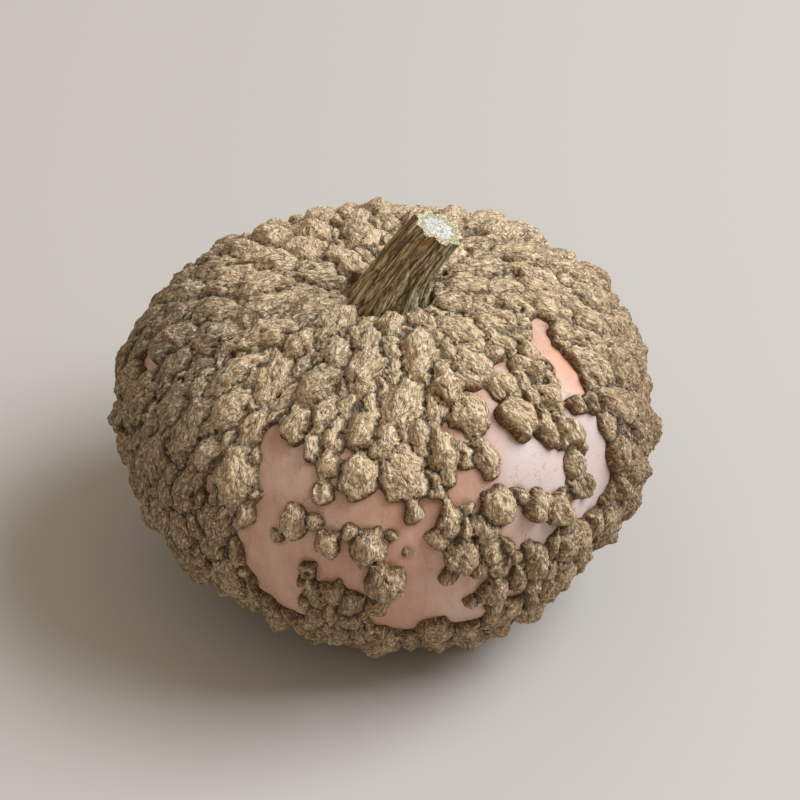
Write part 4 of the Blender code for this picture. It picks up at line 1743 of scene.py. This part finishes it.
    def bark_tree(self, material: bpy.types.Material) -> ShapeTree:
        """Builds the tree that splits the bark into winding fissures.

        Args:
            material: The bark.

        Returns:
            The tree.
        """
        inputs = {
            "Fissure Size": (TreeInput.LENGTH, self.fissure_size),
            "Fissure Depth": (TreeInput.LENGTH, self.fissure_depth),
            "Finish": (TreeInput.FINISH, material),
        }
        tree = ShapeTree("Bark fissures", inputs)
        grain = tree.named("grain_mm", "FLOAT_VECTOR")
        grain = tree.vectors("SCALE", grain, 1.0 / tree.given("Fissure Size"))
        wide, narrow = tree.ridges(grain, 1.0, 0.08, 3.0, 0.6), tree.ridges(grain, 0.6, 0.07, 4.0, 0.6)
        groove = wide.at_least(narrow * 0.6) * tree.named("inward").ease(0.12, 0.02)
        push = groove * tree.given("Fissure Depth") * -1.0
        offset = tree.vectors("SCALE", tree.add("GeometryNodeInputNormal"), push)
        shape = tree.keep(tree.given("Shape"), "groove", groove)
        tree.finish(tree.add("GeometryNodeSetPosition", inputs={"Geometry": shape, "Offset": offset}))
        return tree


@dataclass
class Studio:
    """A pale floor, soft light from the right and behind, and the camera at the photograph's place."""

    form: RindForm
    floor_colour: Colour = srgb(190, 184, 179)
    floor_half: float = 6.0
    floor_roughness: float = 0.7
    key_place: tuple[float, float, float] = (2.8, 0.3, 3.1)
    key_aim: tuple[float, float, float] = (0, 0, 0.1)
    key_size: tuple[float, float] = (2.9, 2.5)
    key_colour: Colour = (0.86, 0.94, 1.0)
    key_power: float = 225
    fill_colour: Colour = (1.0, 0.88, 0.72)
    fill: float = 0.49
    pitch: float = 38
    focal: float = 135
    sensor: float = 36
    distance: float = 1.676
    aim_right: float = 6.8 * MM
    aim_up: float = 6.6 * MM

    def floor(self) -> None:
        """Lays a plain pale floor."""
        half = self.floor_half
        corners = [(-half, -half, 0), (half, -half, 0), (half, half, 0), (-half, half, 0)]
        mesh = mesh_of("floor", corners, [(0, 1, 2, 3)])
        material, _, shader = plain_material("floor_paint", 0.0)
        shader.inputs["Base Color"].default_value = (*self.floor_colour, 1)
        shader.inputs["Roughness"].default_value = self.floor_roughness
        mesh.materials.append(material)
        new_object("floor", mesh)

    def lights(self) -> None:
        """Sets one broad key light and an even fill."""
        lamp = bpy.data.lights.new("key", "AREA")
        lamp.shape = "RECTANGLE"
        lamp.size, lamp.size_y = self.key_size
        lamp.energy = self.key_power
        lamp.color = self.key_colour
        key = bpy.data.objects.new("key", lamp)
        key.location = self.key_place
        aim = Vector(self.key_aim) - key.location
        key.rotation_euler = aim.to_track_quat("-Z", "Y").to_euler()
        bpy.context.scene.collection.objects.link(key)
        world = bpy.data.worlds.new("studio")
        world.use_nodes = True
        background = world.node_tree.nodes["Background"]
        background.inputs["Color"].default_value = (*self.fill_colour, 1)
        background.inputs["Strength"].default_value = self.fill
        bpy.context.scene.world = world

    def camera(self) -> None:
        """Sets the camera, which looks down at the fruit from the front."""
        lens = bpy.data.cameras.new("camera")
        lens.lens = self.focal
        lens.sensor_width = self.sensor
        lens.clip_end = 50
        camera = bpy.data.objects.new("camera", lens)
        pitch = math.radians(self.pitch)
        back = Vector((0, -math.cos(pitch), math.sin(pitch)))
        above = Vector((0, math.sin(pitch), math.cos(pitch)))
        centre = Vector((self.aim_right, 0, self.form.rest_depth)) + above * self.aim_up
        camera.location = centre + back * self.distance
        camera.rotation_euler = (math.pi / 2 - pitch, 0, 0)
        bpy.context.scene.collection.objects.link(camera)
        bpy.context.scene.camera = camera

    def build(self) -> None:
        """Sets the stage."""
        self.floor()
        self.lights()
        self.camera()
        bpy.context.scene.view_settings.view_transform = "Standard"


def attach(piece: bpy.types.Object, node: str) -> None:
    """Puts a finished piece on its body, in place of its CAD node.

    Args:
        piece: The piece.
        node: The CAD node that it stands for.
    """
    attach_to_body(piece, BODY)
    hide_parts(node)
    log.info("%s: %d triangles", piece.name, triangles(piece.data))


def main() -> None:
    """Builds every piece in order."""
    logging.basicConfig(level=logging.INFO, format="%(name)s: %(message)s")
    form = RindForm()
    Studio(form).build()
    warts = Warts(form)
    log.info("%d warts laid", len(warts.heights))
    attach(Rind(form, warts, RindFinish()).build(), FRUIT_NODE)
    for piece in Crust(form, warts, CorkFinish()).build():
        attach(piece, FRUIT_NODE)
    attach(Stem(form, StemFinish()).build(), STEM_NODE)


if __name__ == "__main__":
    main()
